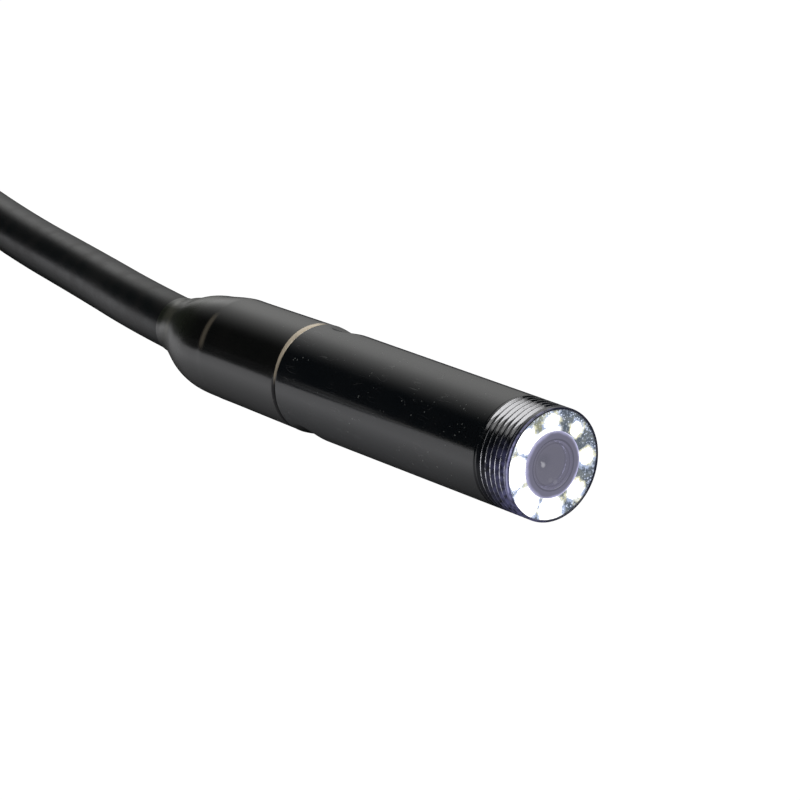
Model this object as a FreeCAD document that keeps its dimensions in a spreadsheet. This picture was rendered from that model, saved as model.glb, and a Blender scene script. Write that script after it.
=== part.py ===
import FreeCAD, Part

import math
import os

import Sketcher
from FreeCAD import Placement, Rotation, Vector

# Inspection camera: a slim waterproof head with a ring of lamps round its lens, on a semi-rigid cable
# that ends in a plug body with a lamp dimmer and a picture button. Millimetres.
# +X points out of the lens and +Z up. The origin is under the middle of the head, on the surface it lies on.

SIZES = {
    # Head: places on it are distances back from the nose.
    "nose_x": 22.2,
    "axis_height": 4.0,
    "barrel_radius": 4.0,
    "barrel_length": 26.3,
    "barrel_bore": 3.4,
    "nose_round": 0.12,
    "mouth_radius": 3.82,
    "mouth_depth": 0.35,
    "neck_bore": 3.12,
    "neck_start": 20.4,
    "dimple_back": 24.5,
    "dimple_depth": 0.3,
    "dimple_curve": 4.3,
    "dimple_width": 6.0,
    # Accessory thread on the nose, M8 x 0.5.
    "thread_pitch": 0.5,
    "thread_depth": 0.3,
    "thread_start": 0.49,
    "crest_width": 0.1,
    # Rear housing, its rubber sleeve and the cable.
    "housing_front": 20.6,
    "housing_end": 35.6,
    "housing_radius": 3.52,
    "housing_bore": 2.35,
    "spigot_radius": 3.1,
    "seal_place": 24.4,
    "seal_groove_width": 0.8,
    "seal_groove_radius": 2.7,
    "seal_section": 0.2,
    "seal_ring_radius": 2.91,
    "sleeve_bore": 3.55,
    "sleeve_front_radius": 3.98,
    "sleeve_rear_radius": 3.87,
    "sleeve_shoulder": 37.4,
    "adhesive_end": 38.4,
    "adhesive_radius": 3.4,
    "cable_radius": 2.1,
    "cable_hole": 2.12,
    "bend_start": 39.5,
    "bend_radius": 34.0,
    "bend_angle": 7.6,
    "tail_root_radius": 3.6,
    "tail_radius_2": 3.06,
    "tail_radius_3": 2.64,
    "tail_radius_4": 2.36,
    "tail_radius_5": 2.24,
    "tail_tip_radius": 2.2,
    "jacket_front": 28.5,
    "clamp_front": 29.6,
    "clamp_length": 4.4,
    "clamp_radius": 2.33,
    # Lamp ring and window.
    "window_front": 0.12,
    "window_back": 0.55,
    "ring_bore": 2.37,
    "window_radius": 3.8,
    "ring_radius": 3.38,
    "lamp_count": 8,
    "lamp_circle": 2.88,
    "lamp_front": 0.6,
    "lamp_depth": 0.4,
    "lamp_width": 1.0,
    "lamp_height": 0.6,
    "lamp_board_back": 1.4,
    "resistor_depth": 0.35,
    "lamp_lead_radius": 0.14,
    "lamp_lead_side": 2.62,
    # Lens module.
    "holder_radius": 2.35,
    "holder_length": 6.0,
    "glass_seat": 1.7,
    "glass_radius": 1.68,
    "glass_front": 0.1,
    "glass_back": 0.6,
    "holder_bore": 1.55,
    "lens_tube_front": 0.65,
    "lens_tube_back": 4.0,
    "lens_tube_radius": 1.53,
    "lens_tube_bore": 1.22,
    "dish_radius": 1.35,
    "pupil_radius": 0.4,
    "pupil_front": 1.15,
    "pupil_back": 1.5,
    "lens_radius": 1.2,
    "lens_depth": 0.7,
    "lens_curve": 2.4,
    "front_lens_place": 1.52,
    "stop_front": 2.24,
    "stop_depth": 0.1,
    "stop_hole": 0.35,
    "rear_lens_place": 2.36,
    "spacer_front": 3.1,
    "spacer_depth": 0.25,
    "spacer_hole": 0.95,
    "filter_front": 3.4,
    "filter_depth": 0.3,
    "cavity_front": 4.2,
    "cavity_radius": 1.9,
    "sensor_front": 4.8,
    "sensor_depth": 0.8,
    "sensor_side": 2.4,
    "sensor_board_radius": 1.88,
    # Ribbon and main board.
    "ribbon_thickness": 0.12,
    "ribbon_drop": 1.5,
    "ribbon_end": 9.8,
    "ribbon_width": 2.2,
    "board_front": 8.2,
    "board_length": 11.6,
    "board_width": 5.6,
    "board_thickness": 0.6,
    "processor_back": 10.2,
    "processor_side": 4.0,
    "processor_height": 0.9,
    "memory_back": 14.8,
    "memory_length": 3.0,
    "memory_width": 2.2,
    "memory_height": 0.6,
    "crystal_back": 15.2,
    "crystal_length": 2.0,
    "crystal_width": 1.6,
    "crystal_height": 0.5,
    "capacitor_length": 0.8,
    "capacitor_width": 0.5,
    "capacitor_height": 0.45,
    "wire_radius": 0.22,
    "wire_side": 0.8,
    "wire_front": 18.7,
    # Cable coil and its tie.
    "coil_x": -103.3,
    "coil_y": -8.0,
    "coil_mid_radius": 23.0,
    "coil_width": 12.6,
    "coil_bottom": 0.5,
    "coil_height": 8.4,
    "tie_thickness": 0.5,
    "tie_width": 5.0,
    "tie_slack": 0.3,
    # Plug body.
    "plug_x": -71.3,
    "plug_y": -35.2,
    "plug_length": 38.0,
    "plug_width": 15.0,
    "plug_height": 9.6,
    "plug_corner": 3.0,
    "plug_wall": 1.2,
    "relief_length": 11.0,
    "relief_tip_radius": 3.0,
    "relief_root_radius": 4.2,
    "relief_neck_radius": 3.2,
    "relief_neck_hole": 3.22,
    "relief_flange_radius": 3.5,
    "relief_flange": 1.0,
    "relief_hole_depth": 7.0,
    "relief_bore": 2.18,
    "plug_board_bottom": 2.4,
    "plug_board_thickness": 1.0,
    "board_clearance": 0.2,
    "plug_wire_near": 2.4,
    "plug_wire_far": 3.0,
    "plug_wire_length": 5.0,
    "plug_board_length": 32.2,
    "plug_board_width": 11.4,
    "boss_radius": 1.9,
    "boss_hole": 0.87,
    "boss_front": 4.4,
    "boss_rear": 33.0,
    "screw_radius": 0.85,
    "screw_head_radius": 1.6,
    "screw_head": 0.9,
    "screw_length": 6.4,
    "screw_clearance": 1.1,
    "screw_recess": 1.8,
    "screw_recess_depth": 1.0,
    # Dimmer wheel, picture button and connector.
    "wheel_x": -58.3,
    "wheel_radius": 5.0,
    "wheel_thickness": 2.2,
    "wheel_reach": 1.5,
    "wheel_hole": 1.05,
    "wheel_gap": 0.3,
    "pin_radius": 1.0,
    "button_x": -44.6,
    "button_radius": 2.5,
    "button_hole_radius": 2.6,
    "button_proud": 0.8,
    "button_bottom": 5.9,
    "button_stem_radius": 1.2,
    "button_flange_radius": 3.2,
    "button_flange_top": 8.38,
    "button_flange": 0.8,
    "switch_side": 3.6,
    "switch_height": 2.0,
    "connector_width": 12.0,
    "connector_height": 4.5,
    "connector_sheet": 0.3,
    "connector_reach": 12.0,
    "connector_root": 2.0,
    "connector_gap": 0.05,
    "tongue_height": 1.85,
    "contact_width": 1.0,
    "contact_thickness": 0.2,
    "contact_length": 8.0,
    "contact_step": 2.3,
}

# The route that the cable's centre line takes along the surface, from the sleeve to the coil and from the
# coil to the plug. The first point of the lead is where the cable leaves the sleeve.
LEAD_ROUTE = [
    (-28.2, 1.15, 4.0),
    (-40.8, 5.05, 3.05),
    (-59.8, 9.8, 2.15),
    (-79.4, 14.9, 2.15),
    (-91.2, 17.4, 2.45),
]
TAIL_ROUTE = [
    (-103.3, -35.2, 6.8),
    (-95.8, -35.2, 6.5),
    (-88.6, -35.2, 5.15),
    (-81.3, -35.2, 4.8),
    (-75.4, -35.2, 4.82),
]
THREAD_GROOVES = 6
# How far round from the top, towards +Y, the two dimples in the barrel are, in degrees.
DIMPLE_PLACES = (26, 206)
# How far round the sleeve's bend each ring of its tail stands, and that ring's radius.
TAIL_PROFILE = [
    (0.0, "tail_root_radius"),
    (0.33, "tail_radius_2"),
    (0.55, "tail_radius_3"),
    (0.74, "tail_radius_4"),
    (0.89, "tail_radius_5"),
    (1.0, "tail_tip_radius"),
]
BORE_RUN_OUT = 1.2
ARC_SHARE = 0.45
LEAST_BEND = 5.0
VOLUME_TOLERANCE = 0.01

doc = FreeCAD.newDocument("InspectionCamera")
sheet = doc.addObject("Spreadsheet::Sheet", "Sizes")
for row, (alias, number) in enumerate(SIZES.items(), 1):
    sheet.set(f"A{row}", alias)
    sheet.set(f"B{row}", str(number))
    sheet.setAlias(f"B{row}", alias)
doc.recompute()

nodes = []


# Sizes are written as sums of the sheet's words, such as "nose_x - ( barrel_length + wheel_gap/2 )".


def terms(words):
    """The sign, word and divisor of each term of a sum."""
    outer, sign = [1], 1
    for token in words.split():
        if token in ("+", "-"):
            sign = 1 if token == "+" else -1
        elif token == "(":
            outer.append(outer[-1] * sign)
            sign = 1
        elif token == ")":
            outer.pop()
        else:
            word, _, divisor = token.partition("/")
            yield outer[-1] * sign, word, float(divisor or 1)


def size(words):
    """What a sum comes to."""
    return sum(sign * SIZES.get(word, 0.0) / divisor for sign, word, divisor in terms(words))


def link(words):
    """The same sum as an expression on the sheet's cells."""
    plain = ("+", "-", "(", ")", "0")
    return " ".join(token if token in plain else f"Sizes.{token}" for token in words.split())


def bind(piece, **sizes):
    """Binds a piece's properties, such as Radius, to sums; a place is given as x, y and z."""
    for name, words in sizes.items():
        path = f"Placement.Base.{name}" if name in "xyz" else name
        piece.setExpression(path, link(words))


def node(piece):
    """Counts a finished piece as a part of its own."""
    nodes.append(piece)
    return piece


BACKWARDS = Rotation(Vector(0, 1, 0), -90)  # turns what stands on Z to point backwards along the head


# Pieces made one way or another.


def turned(label, corners):
    """A piece turned about the head's axis. A corner is its distance back from the nose and its radius."""
    body = doc.addObject("PartDesign::Body", label)
    sketch = body.newObject("Sketcher::SketchObject", f"{label}_outline")
    plane = next(f for f in body.Origin.OriginFeatures if f.Role == "XZ_Plane")
    sketch.AttachmentSupport = [(plane, "")]
    sketch.MapMode = "FlatFace"
    points = [Vector(size(back), size(radius), 0) for back, radius in corners]
    sketch.addGeometry([Part.LineSegment(a, b) for a, b in zip(points, points[1:] + points[:1])])
    for i, (back, radius) in enumerate(corners):
        before = i - 1 if i else len(corners) - 1
        sketch.addConstraint(Sketcher.Constraint("Coincident", before, 2, i, 1))
        for kind, words in (("DistanceX", back), ("DistanceY", radius)):
            number = sketch.addConstraint(Sketcher.Constraint(kind, i, 1, size(words)))
            sketch.setExpression(f"Constraints[{number}]", link(words))
    turn = body.newObject("PartDesign::Revolution", f"{label}_turn")
    turn.Profile = sketch
    turn.ReferenceAxis = (sketch, ["H_Axis"])
    turn.Angle = 360
    body.Placement = Placement(Vector(size("nose_x"), 0, size("axis_height")), Rotation(Vector(0, 0, 1), 180))
    bind(body, x="nose_x", z="axis_height")
    return body


def collar(label, front, back, bore, radius):
    """A plain ring on the head's axis."""
    return turned(label, [(front, bore), (front, radius), (back, radius), (back, bore)])


def disc(label, front, back, radius):
    """A plain disc on the head's axis."""
    return collar(label, front, back, "0", radius)


def box(label, x, y, z, length, width, height):
    """A box whose lowest corner is at x, y and z."""
    piece = doc.addObject("Part::Box", label)
    bind(piece, Length=length, Width=width, Height=height, x=x, y=y, z=z)
    return piece


def board_box(label, back, length, side, width, level, height):
    """A box in the head: its front end's distance back, its middle's offset sideways and its underside."""
    x = f"nose_x - ( {back} ) - ( {length} )"
    y = f"{side} - {width}/2"
    return box(label, x, y, f"axis_height + {level}", length, width, height)


def upright(label, x, y, bottom, height, radius):
    """A cylinder that stands on Z."""
    piece = doc.addObject("Part::Cylinder", label)
    bind(piece, Radius=radius, Height=height, x=x, y=y, z=bottom)
    return piece


def rod(label, x, y, z, length, radius):
    """A cylinder that lies along X, from x backwards."""
    piece = doc.addObject("Part::Cylinder", label)
    piece.Placement = Placement(Vector(0, 0, 0), BACKWARDS)
    bind(piece, Radius=radius, Height=length, x=x, y=y, z=z)
    return piece


def joined(label, pieces):
    """Several solids made one."""
    fuse = doc.addObject("Part::MultiFuse", label)
    fuse.Shapes = pieces
    return fuse


def cut(label, base, tools):
    """A solid with others taken out of it."""
    piece = doc.addObject("Part::Cut", label)
    piece.Base = base
    piece.Tool = tools[0] if len(tools) == 1 else joined(f"{label}_tools", tools)
    return piece


def group(label, pieces):
    """Separate solids of one kind, kept together as one part."""
    compound = doc.addObject("Part::Compound", label)
    compound.Links = pieces
    return compound


def round_uprights(label, base, radius):
    """A box with its four upright edges rounded."""
    doc.recompute()
    fillet = doc.addObject("Part::Fillet", label)
    fillet.Base = base
    edges = enumerate(base.Shape.Edges, 1)
    stands = [i for i, edge in edges if edge.BoundBox.ZLength > base.Shape.BoundBox.ZLength / 2]
    fillet.Edges = [(i, size(radius), size(radius)) for i in stands]
    return fillet


def around(label, count, first, step, circle, depth, front, width, height):
    """Small boxes set round the head's axis, `circle` from it, each with its broad side along the circle."""
    pieces = []
    for k in range(count):
        piece = doc.addObject("Part::Box", f"{label}_{k + 1}")
        bind(piece, Length=depth, Width=width, Height=height)
        turn = Rotation(Vector(1, 0, 0), first + k * step)
        corner = Vector(-size(f"{front} + {depth}"), -size(f"{width}/2"), size(f"{circle} - {height}/2"))
        middle = Vector(size("nose_x"), 0, size("axis_height"))
        piece.Placement = Placement(middle + turn.multVec(corner), turn)
        pieces.append(piece)
    return group(label, pieces)


# Head: the front barrel, with its lip, accessory thread, plain grip, dimples and the neck for the housing.


def thread_corners():
    """The accessory thread's crests and roots, drawn as rings, from the nose backwards."""
    corners = []
    start = "thread_start"
    for _ in range(THREAD_GROOVES):
        corners += [
            (f"{start} + crest_width/2", "barrel_radius"),
            (f"{start} + thread_pitch/2", "barrel_radius - thread_depth"),
            (f"{start} + thread_pitch - crest_width/2", "barrel_radius"),
        ]
        start += " + thread_pitch"
    return corners


def make_barrel():
    """The barrel, pressed in at two opposite places to hold the rear housing's spigot."""
    lip = [("0", "mouth_radius"), ("0", "barrel_radius - nose_round"), ("nose_round", "barrel_radius")]
    inside = [
        ("barrel_length", "barrel_radius"),
        ("barrel_length", "neck_bore"),
        ("neck_start", "neck_bore"),
        ("neck_start", "barrel_bore"),
        ("mouth_depth", "barrel_bore"),
        ("mouth_depth", "mouth_radius"),
    ]
    presses = []
    for angle in DIMPLE_PLACES:
        press = doc.addObject("Part::Cylinder", f"dimple_{len(presses) + 1}")
        bind(press, Radius="dimple_curve", Height="dimple_width")
        out = size("barrel_radius - dimple_depth + dimple_curve")
        above = Placement(Vector(0, -size("dimple_width/2"), out), Rotation(Vector(1, 0, 0), -90))
        centre = Vector(size("nose_x - dimple_back"), 0, size("axis_height"))
        press.Placement = Placement(centre, Rotation(Vector(1, 0, 0), -angle)) * above
        presses.append(press)
    node(cut("front_barrel", turned("barrel_blank", lip + thread_corners() + inside), presses))


def make_lamp_ring():
    """The clear window that seals the mouth, and behind it the lamps on their board."""
    window = [
        ("window_front", "ring_bore"),
        ("window_front", "window_radius"),
        ("mouth_depth", "window_radius"),
        ("mouth_depth", "ring_radius"),
        ("window_back", "ring_radius"),
        ("window_back", "ring_bore"),
    ]
    node(turned("lamp_window", window))
    count = int(SIZES["lamp_count"])
    lamp = ("lamp_depth", "lamp_front", "lamp_width", "lamp_height")
    node(around("lamps", count, 0, 360 / count, "lamp_circle", *lamp))
    board_front = "lamp_front + lamp_depth"
    node(collar("lamp_board", board_front, "lamp_board_back", "ring_bore", "ring_radius"))
    resistor = ("resistor_depth", "lamp_board_back", "lamp_width", "lamp_height")
    node(around("lamp_resistors", 4, 45, 90, "lamp_circle", *resistor))
    leads = []
    for side in ("lamp_lead_side", "0 - lamp_lead_side"):
        start = ("nose_x - lamp_board_back", side, "axis_height")
        reach = "board_front - lamp_board_back"
        leads.append(rod(f"lamp_lead_{len(leads) + 1}", *start, reach, "lamp_lead_radius"))
    node(group("lamp_leads", leads))


def lens(label, place, ball_place):
    """A lens flat on one side: the part of a ball of glass that lies inside a short rod."""
    blank = rod(f"{label}_blank", f"nose_x - {place}", "0", "axis_height", "lens_depth", "lens_radius")
    ball = doc.addObject("Part::Sphere", f"{label}_ball")
    bind(ball, Radius="lens_curve", x=f"nose_x - ( {ball_place} )", z="axis_height")
    piece = doc.addObject("Part::Common", label)
    piece.Base = blank
    piece.Tool = ball
    return node(piece)


def make_lens_module():
    holder = [
        ("0", "glass_seat"),
        ("0", "holder_radius"),
        ("holder_length", "holder_radius"),
        ("holder_length", "cavity_radius"),
        ("cavity_front", "cavity_radius"),
        ("cavity_front", "holder_bore"),
        ("glass_back", "holder_bore"),
        ("glass_back", "glass_seat"),
    ]
    node(turned("lens_holder", holder))
    node(disc("cover_glass", "glass_front", "glass_back", "glass_radius"))
    tube = [
        ("lens_tube_front", "dish_radius"),
        ("lens_tube_front", "lens_tube_radius"),
        ("lens_tube_back", "lens_tube_radius"),
        ("lens_tube_back", "lens_tube_bore"),
        ("pupil_back", "lens_tube_bore"),
        ("pupil_back", "pupil_radius"),
        ("pupil_front", "pupil_radius"),
    ]
    node(turned("lens_tube", tube))
    lens("front_lens", "front_lens_place", "front_lens_place + lens_curve")
    node(collar("aperture_stop", "stop_front", "stop_front + stop_depth", "stop_hole", "lens_radius"))
    lens("rear_lens", "rear_lens_place", "rear_lens_place + lens_depth - lens_curve")
    node(collar("lens_spacer", "spacer_front", "spacer_front + spacer_depth", "spacer_hole", "lens_radius"))
    node(disc("infrared_filter", "filter_front", "filter_front + filter_depth", "lens_radius"))
    side = "sensor_side"
    node(board_box("image_sensor", "sensor_front", "sensor_depth", "0", side, f"0 - {side}/2", side))
    node(disc("sensor_board", "sensor_front + sensor_depth", "holder_length", "sensor_board_radius"))


def make_electronics():
    """The main board with its chips, the ribbon from the sensor and the cable's wires on the far end."""
    under = "0 - board_thickness/2"
    top = "board_thickness/2"
    ribbon_under = f"{under} - ribbon_thickness"
    drop = ("holder_length", "ribbon_thickness", "0", "ribbon_width", "0 - ribbon_drop")
    run = ("holder_length", "ribbon_end - holder_length", "0", "ribbon_width", ribbon_under)
    pieces = [
        board_box("ribbon_drop_part", *drop, "ribbon_drop - board_thickness/2"),
        board_box("ribbon_run_part", *run, "ribbon_thickness"),
    ]
    node(joined("sensor_ribbon", pieces))
    board = ("board_front", "board_length", "0", "board_width", under, "board_thickness")
    node(board_box("main_board", *board))
    processor = ("processor_back", "processor_side", "0", "processor_side", top, "processor_height")
    node(board_box("processor_chip", *processor))
    memory_level = f"{under} - memory_height"
    memory = ("memory_back", "memory_length", "0", "memory_width", memory_level, "memory_height")
    node(board_box("memory_chip", *memory))
    crystal = ("crystal_back", "crystal_length", "0", "crystal_width", top, "crystal_height")
    node(board_box("clock_crystal", *crystal))
    capacitors = []
    for back in ("board_front + capacitor_length", "memory_back", "crystal_back + crystal_length"):
        for side in ("processor_side/2", "0 - processor_side/2"):
            place = (back, "capacitor_length", side, "capacitor_width", top, "capacitor_height")
            capacitors.append(board_box(f"capacitor_{len(capacitors) + 1}", *place))
    node(group("board_capacitors", capacitors))
    wires = []
    for side in ("wire_side", "0 - wire_side"):
        for level in ("board_thickness/2 + wire_radius", "0 - board_thickness/2 - wire_radius"):
            place = ("nose_x - wire_front", side, f"axis_height + {level}")
            wires.append(rod(f"wire_{len(wires) + 1}", *place, "jacket_front - wire_front", "wire_radius"))
    node(group("cable_wires", wires))


def make_housing():
    """The rear housing, whose spigot seals in the barrel's neck, and what holds the cable in it."""
    housing = [
        ("housing_front", "housing_bore"),
        ("housing_front", "spigot_radius"),
        ("seal_place - seal_groove_width/2", "spigot_radius"),
        ("seal_place - seal_groove_width/2", "seal_groove_radius"),
        ("seal_place + seal_groove_width/2", "seal_groove_radius"),
        ("seal_place + seal_groove_width/2", "spigot_radius"),
        ("barrel_length", "spigot_radius"),
        ("barrel_length", "housing_radius"),
        ("housing_end", "housing_radius"),
        ("housing_end", "housing_bore"),
    ]
    node(turned("rear_housing", housing))
    seal = doc.addObject("Part::Torus", "body_seal")
    seal.Placement = Placement(Vector(0, 0, 0), BACKWARDS)
    bind(seal, Radius1="seal_ring_radius", Radius2="seal_section", x="nose_x - seal_place", z="axis_height")
    node(seal)
    node(collar("cable_clamp", "clamp_front", "clamp_front + clamp_length", "cable_hole", "clamp_radius"))
    node(collar("adhesive_fill", "housing_end", "adhesive_end", "cable_hole", "adhesive_radius"))


def on_bend(angle):
    """The place and direction of the cable's axis, `angle` degrees round the bend inside the sleeve's tail."""
    turn = Rotation(Vector(0, 0, 1), -angle)
    centre = Vector(size("nose_x - bend_start"), size("bend_radius"), size("axis_height"))
    return Placement(centre + turn.multVec(Vector(0, -size("bend_radius"), 0)), turn * BACKWARDS)


def bent_rod(label, angle, radius):
    """A round rod along the bend inside the sleeve's tail, from the bend's start."""
    piece = doc.addObject("Part::Torus", label)
    piece.Placement = Placement(Vector(0, 0, 0), Rotation(Vector(0, 0, 1), -90 - angle))
    piece.Angle3 = angle
    place = {"x": "nose_x - bend_start", "y": "bend_radius", "z": "axis_height"}
    bind(piece, Radius1="bend_radius", Radius2=radius, **place)
    return piece


def make_sleeve():
    """The rubber sleeve shrunk over the housing, its tail drawn down onto the cable and bent with it."""
    straight = [
        ("barrel_length", "sleeve_bore"),
        ("barrel_length", "sleeve_front_radius"),
        ("sleeve_shoulder", "sleeve_rear_radius"),
        ("bend_start", "tail_root_radius"),
        ("bend_start", "cable_hole"),
        ("adhesive_end", "cable_hole"),
        ("adhesive_end", "adhesive_radius"),
        ("housing_end", "adhesive_radius"),
        ("housing_end", "sleeve_bore"),
    ]
    body = turned("sleeve_body", straight)
    rings = []
    for share, radius in TAIL_PROFILE:
        ring = doc.addObject("Part::Circle", f"tail_ring_{len(rings) + 1}")
        ring.Placement = on_bend(share * SIZES["bend_angle"])
        bind(ring, Radius=radius)
        rings.append(ring)
    loft = doc.addObject("Part::Loft", "tail_outside")
    loft.Sections = rings
    loft.Solid = True
    bore = bent_rod("tail_bore", SIZES["bend_angle"] * BORE_RUN_OUT, "cable_hole")
    node(joined("rear_sleeve", [body, cut("sleeve_tail", loft, [bore])]))
    rear = rod(
        "jacket_straight",
        "nose_x - jacket_front",
        "0",
        "axis_height",
        "bend_start - jacket_front",
        "cable_radius",
    )
    node(joined("jacket_end", [rear, bent_rod("jacket_bend", SIZES["bend_angle"], "cable_radius")]))


# Cable: round tube along straight runs joined by arcs, and the closed outside of the coil.


def arcs_along(points):
    """A wire of straight runs joined by arcs, each as large as its two runs allow, with the arcs' radii."""
    edges = []
    radii = []
    here = points[0]
    for before, corner, after in zip(points, points[1:], points[2:]):
        inward, outward = (before - corner).normalize(), (after - corner).normalize()
        half = (math.pi - inward.getAngle(outward)) / 2
        reach = ARC_SHARE * min((before - corner).Length, (after - corner).Length)
        radius = reach / math.tan(half)
        start, end = corner + inward * reach, corner + outward * reach
        middle = corner + (inward + outward).normalize() * (radius / math.cos(half) - radius)
        edges += [Part.LineSegment(here, start).toShape(), Part.Arc(start, middle, end).toShape()]
        radii.append(radius)
        here = end
    edges.append(Part.LineSegment(here, points[-1]).toShape())
    return Part.Wire(edges), radii


def tube(label, points):
    """A length of cable. Its arcs and its volume are compared with what a cable allows."""
    wire, radii = arcs_along(points)
    radius = size("cable_radius")
    circle = Part.makeCircle(radius, points[0], points[1] - points[0])
    solid = wire.makePipeShell([Part.Wire(circle)], True, False)
    plain = math.pi * radius**2 * wire.Length
    assert abs(solid.Volume / plain - 1) < VOLUME_TOLERANCE, f"{label} volume {solid.Volume} is not {plain}"
    assert min(radii) > LEAST_BEND * 2 * radius, f"{label} is bent too tightly: {radii}"
    print(label, "length", round(wire.Length, 2), "arc radii", [round(r, 1) for r in radii])
    piece = doc.addObject("Part::Feature", label)
    piece.Shape = solid
    return node(piece)


def make_cable():
    exit_point = on_bend(SIZES["bend_angle"]).Base
    tube("cable_lead", [exit_point] + [Vector(*point) for point in LEAD_ROUTE])
    tube("cable_tail", [Vector(*point) for point in TAIL_ROUTE])
    place = ("coil_x", "coil_y", "coil_bottom", "coil_height")
    outside = upright("coil_outside", *place, "coil_mid_radius + coil_width/2")
    inside = upright("coil_inside", *place, "coil_mid_radius - coil_width/2")
    node(cut("cable_coil", outside, [inside]))
    inner = "coil_x + coil_mid_radius - coil_width/2 - tie_slack"
    span = "coil_width + tie_slack + tie_slack"
    ends = ("tie_width", "coil_height + tie_thickness + tie_thickness")
    around_coil = (f"{inner} - tie_thickness", "coil_y - tie_width/2", "coil_bottom - tie_thickness")
    strap = box("tie_outside", *around_coil, f"{span} + tie_thickness + tie_thickness", *ends)
    hollow = (inner, "coil_y - tie_width/2", "coil_bottom")
    opening = box("tie_inside", *hollow, span, "tie_width", "coil_height")
    node(cut("coil_tie", strap, [opening]))


# Plug body: two shells screwed together round the board, with the dimmer wheel, the button and the connector.


def make_shell(label, bottom, height, floor, inner_height, boss_bottom, boss_height, tools):
    """Half of the plug body: a rounded tray with two screw bosses, and the openings it shares."""
    outline = ("plug_x", "plug_y - plug_width/2", bottom, "plug_length", "plug_width", height)
    tray = round_uprights(f"{label}_outside", box(f"{label}_block", *outline), "plug_corner")
    inside = box(
        f"{label}_inside",
        "plug_x + plug_wall",
        "plug_y - plug_width/2 + plug_wall",
        floor,
        "plug_length - plug_wall - plug_wall",
        "plug_width - plug_wall - plug_wall",
        inner_height,
    )
    bosses = []
    for place in ("boss_front", "boss_rear"):
        at = (f"plug_x + {place}", "plug_y", boss_bottom)
        bosses.append(upright(f"{label}_{place}", *at, boss_height, "boss_radius"))
    solid = joined(f"{label}_solid", [cut(f"{label}_tray", tray, [inside])] + bosses)
    return node(cut(label, solid, tools))


def make_plug_shells():
    middle = "plug_height/2"
    end = "plug_x + plug_length"
    wheel_slot = box(
        "wheel_slot",
        "wheel_x - wheel_radius - wheel_gap",
        "plug_y - plug_width/2 - wheel_gap",
        f"{middle} - wheel_thickness/2 - wheel_gap",
        "wheel_radius + wheel_radius + wheel_gap + wheel_gap",
        "plug_wall + wheel_gap + wheel_gap",
        "wheel_thickness + wheel_gap + wheel_gap",
    )
    connector_hole = box(
        "connector_hole",
        f"{end} - plug_wall - connector_gap",
        "plug_y - connector_width/2 - connector_gap",
        f"{middle} - connector_height/2 - connector_gap",
        "plug_wall + connector_gap + connector_gap",
        "connector_width + connector_gap + connector_gap",
        "connector_height + connector_gap + connector_gap",
    )
    hole = ("plug_x + plug_wall + connector_gap", "plug_y", middle)
    neck = rod("relief_hole", *hole, "relief_length", "relief_neck_hole")
    shared = [wheel_slot, connector_hole, neck]
    base_tools, top_tools = list(shared), list(shared)
    for place in ("boss_front", "boss_rear"):
        at = (f"plug_x + {place}", "plug_y")
        base_tools.append(upright(f"clear_{place}", *at, "0", "plug_board_bottom", "screw_clearance"))
        base_tools.append(upright(f"recess_{place}", *at, "0", "screw_recess_depth", "screw_recess"))
        top_tools.append(upright(f"pilot_{place}", *at, "plug_board_bottom", "screw_length", "boss_hole"))
    over_board = "plug_board_bottom + plug_board_thickness"
    ceiling = "plug_height - plug_wall"
    hole = ("button_x", "plug_y", middle)
    top_tools.append(upright("button_hole", *hole, "plug_height", "button_hole_radius"))
    base_boss = ("plug_wall", "plug_board_bottom - plug_wall")
    make_shell("plug_base", "0", middle, "plug_wall", f"{middle} - plug_wall", *base_boss, base_tools)
    top_boss = (over_board, f"{ceiling} - ( {over_board} )")
    make_shell("plug_cover", middle, middle, middle, f"{middle} - plug_wall", *top_boss, top_tools)


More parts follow.
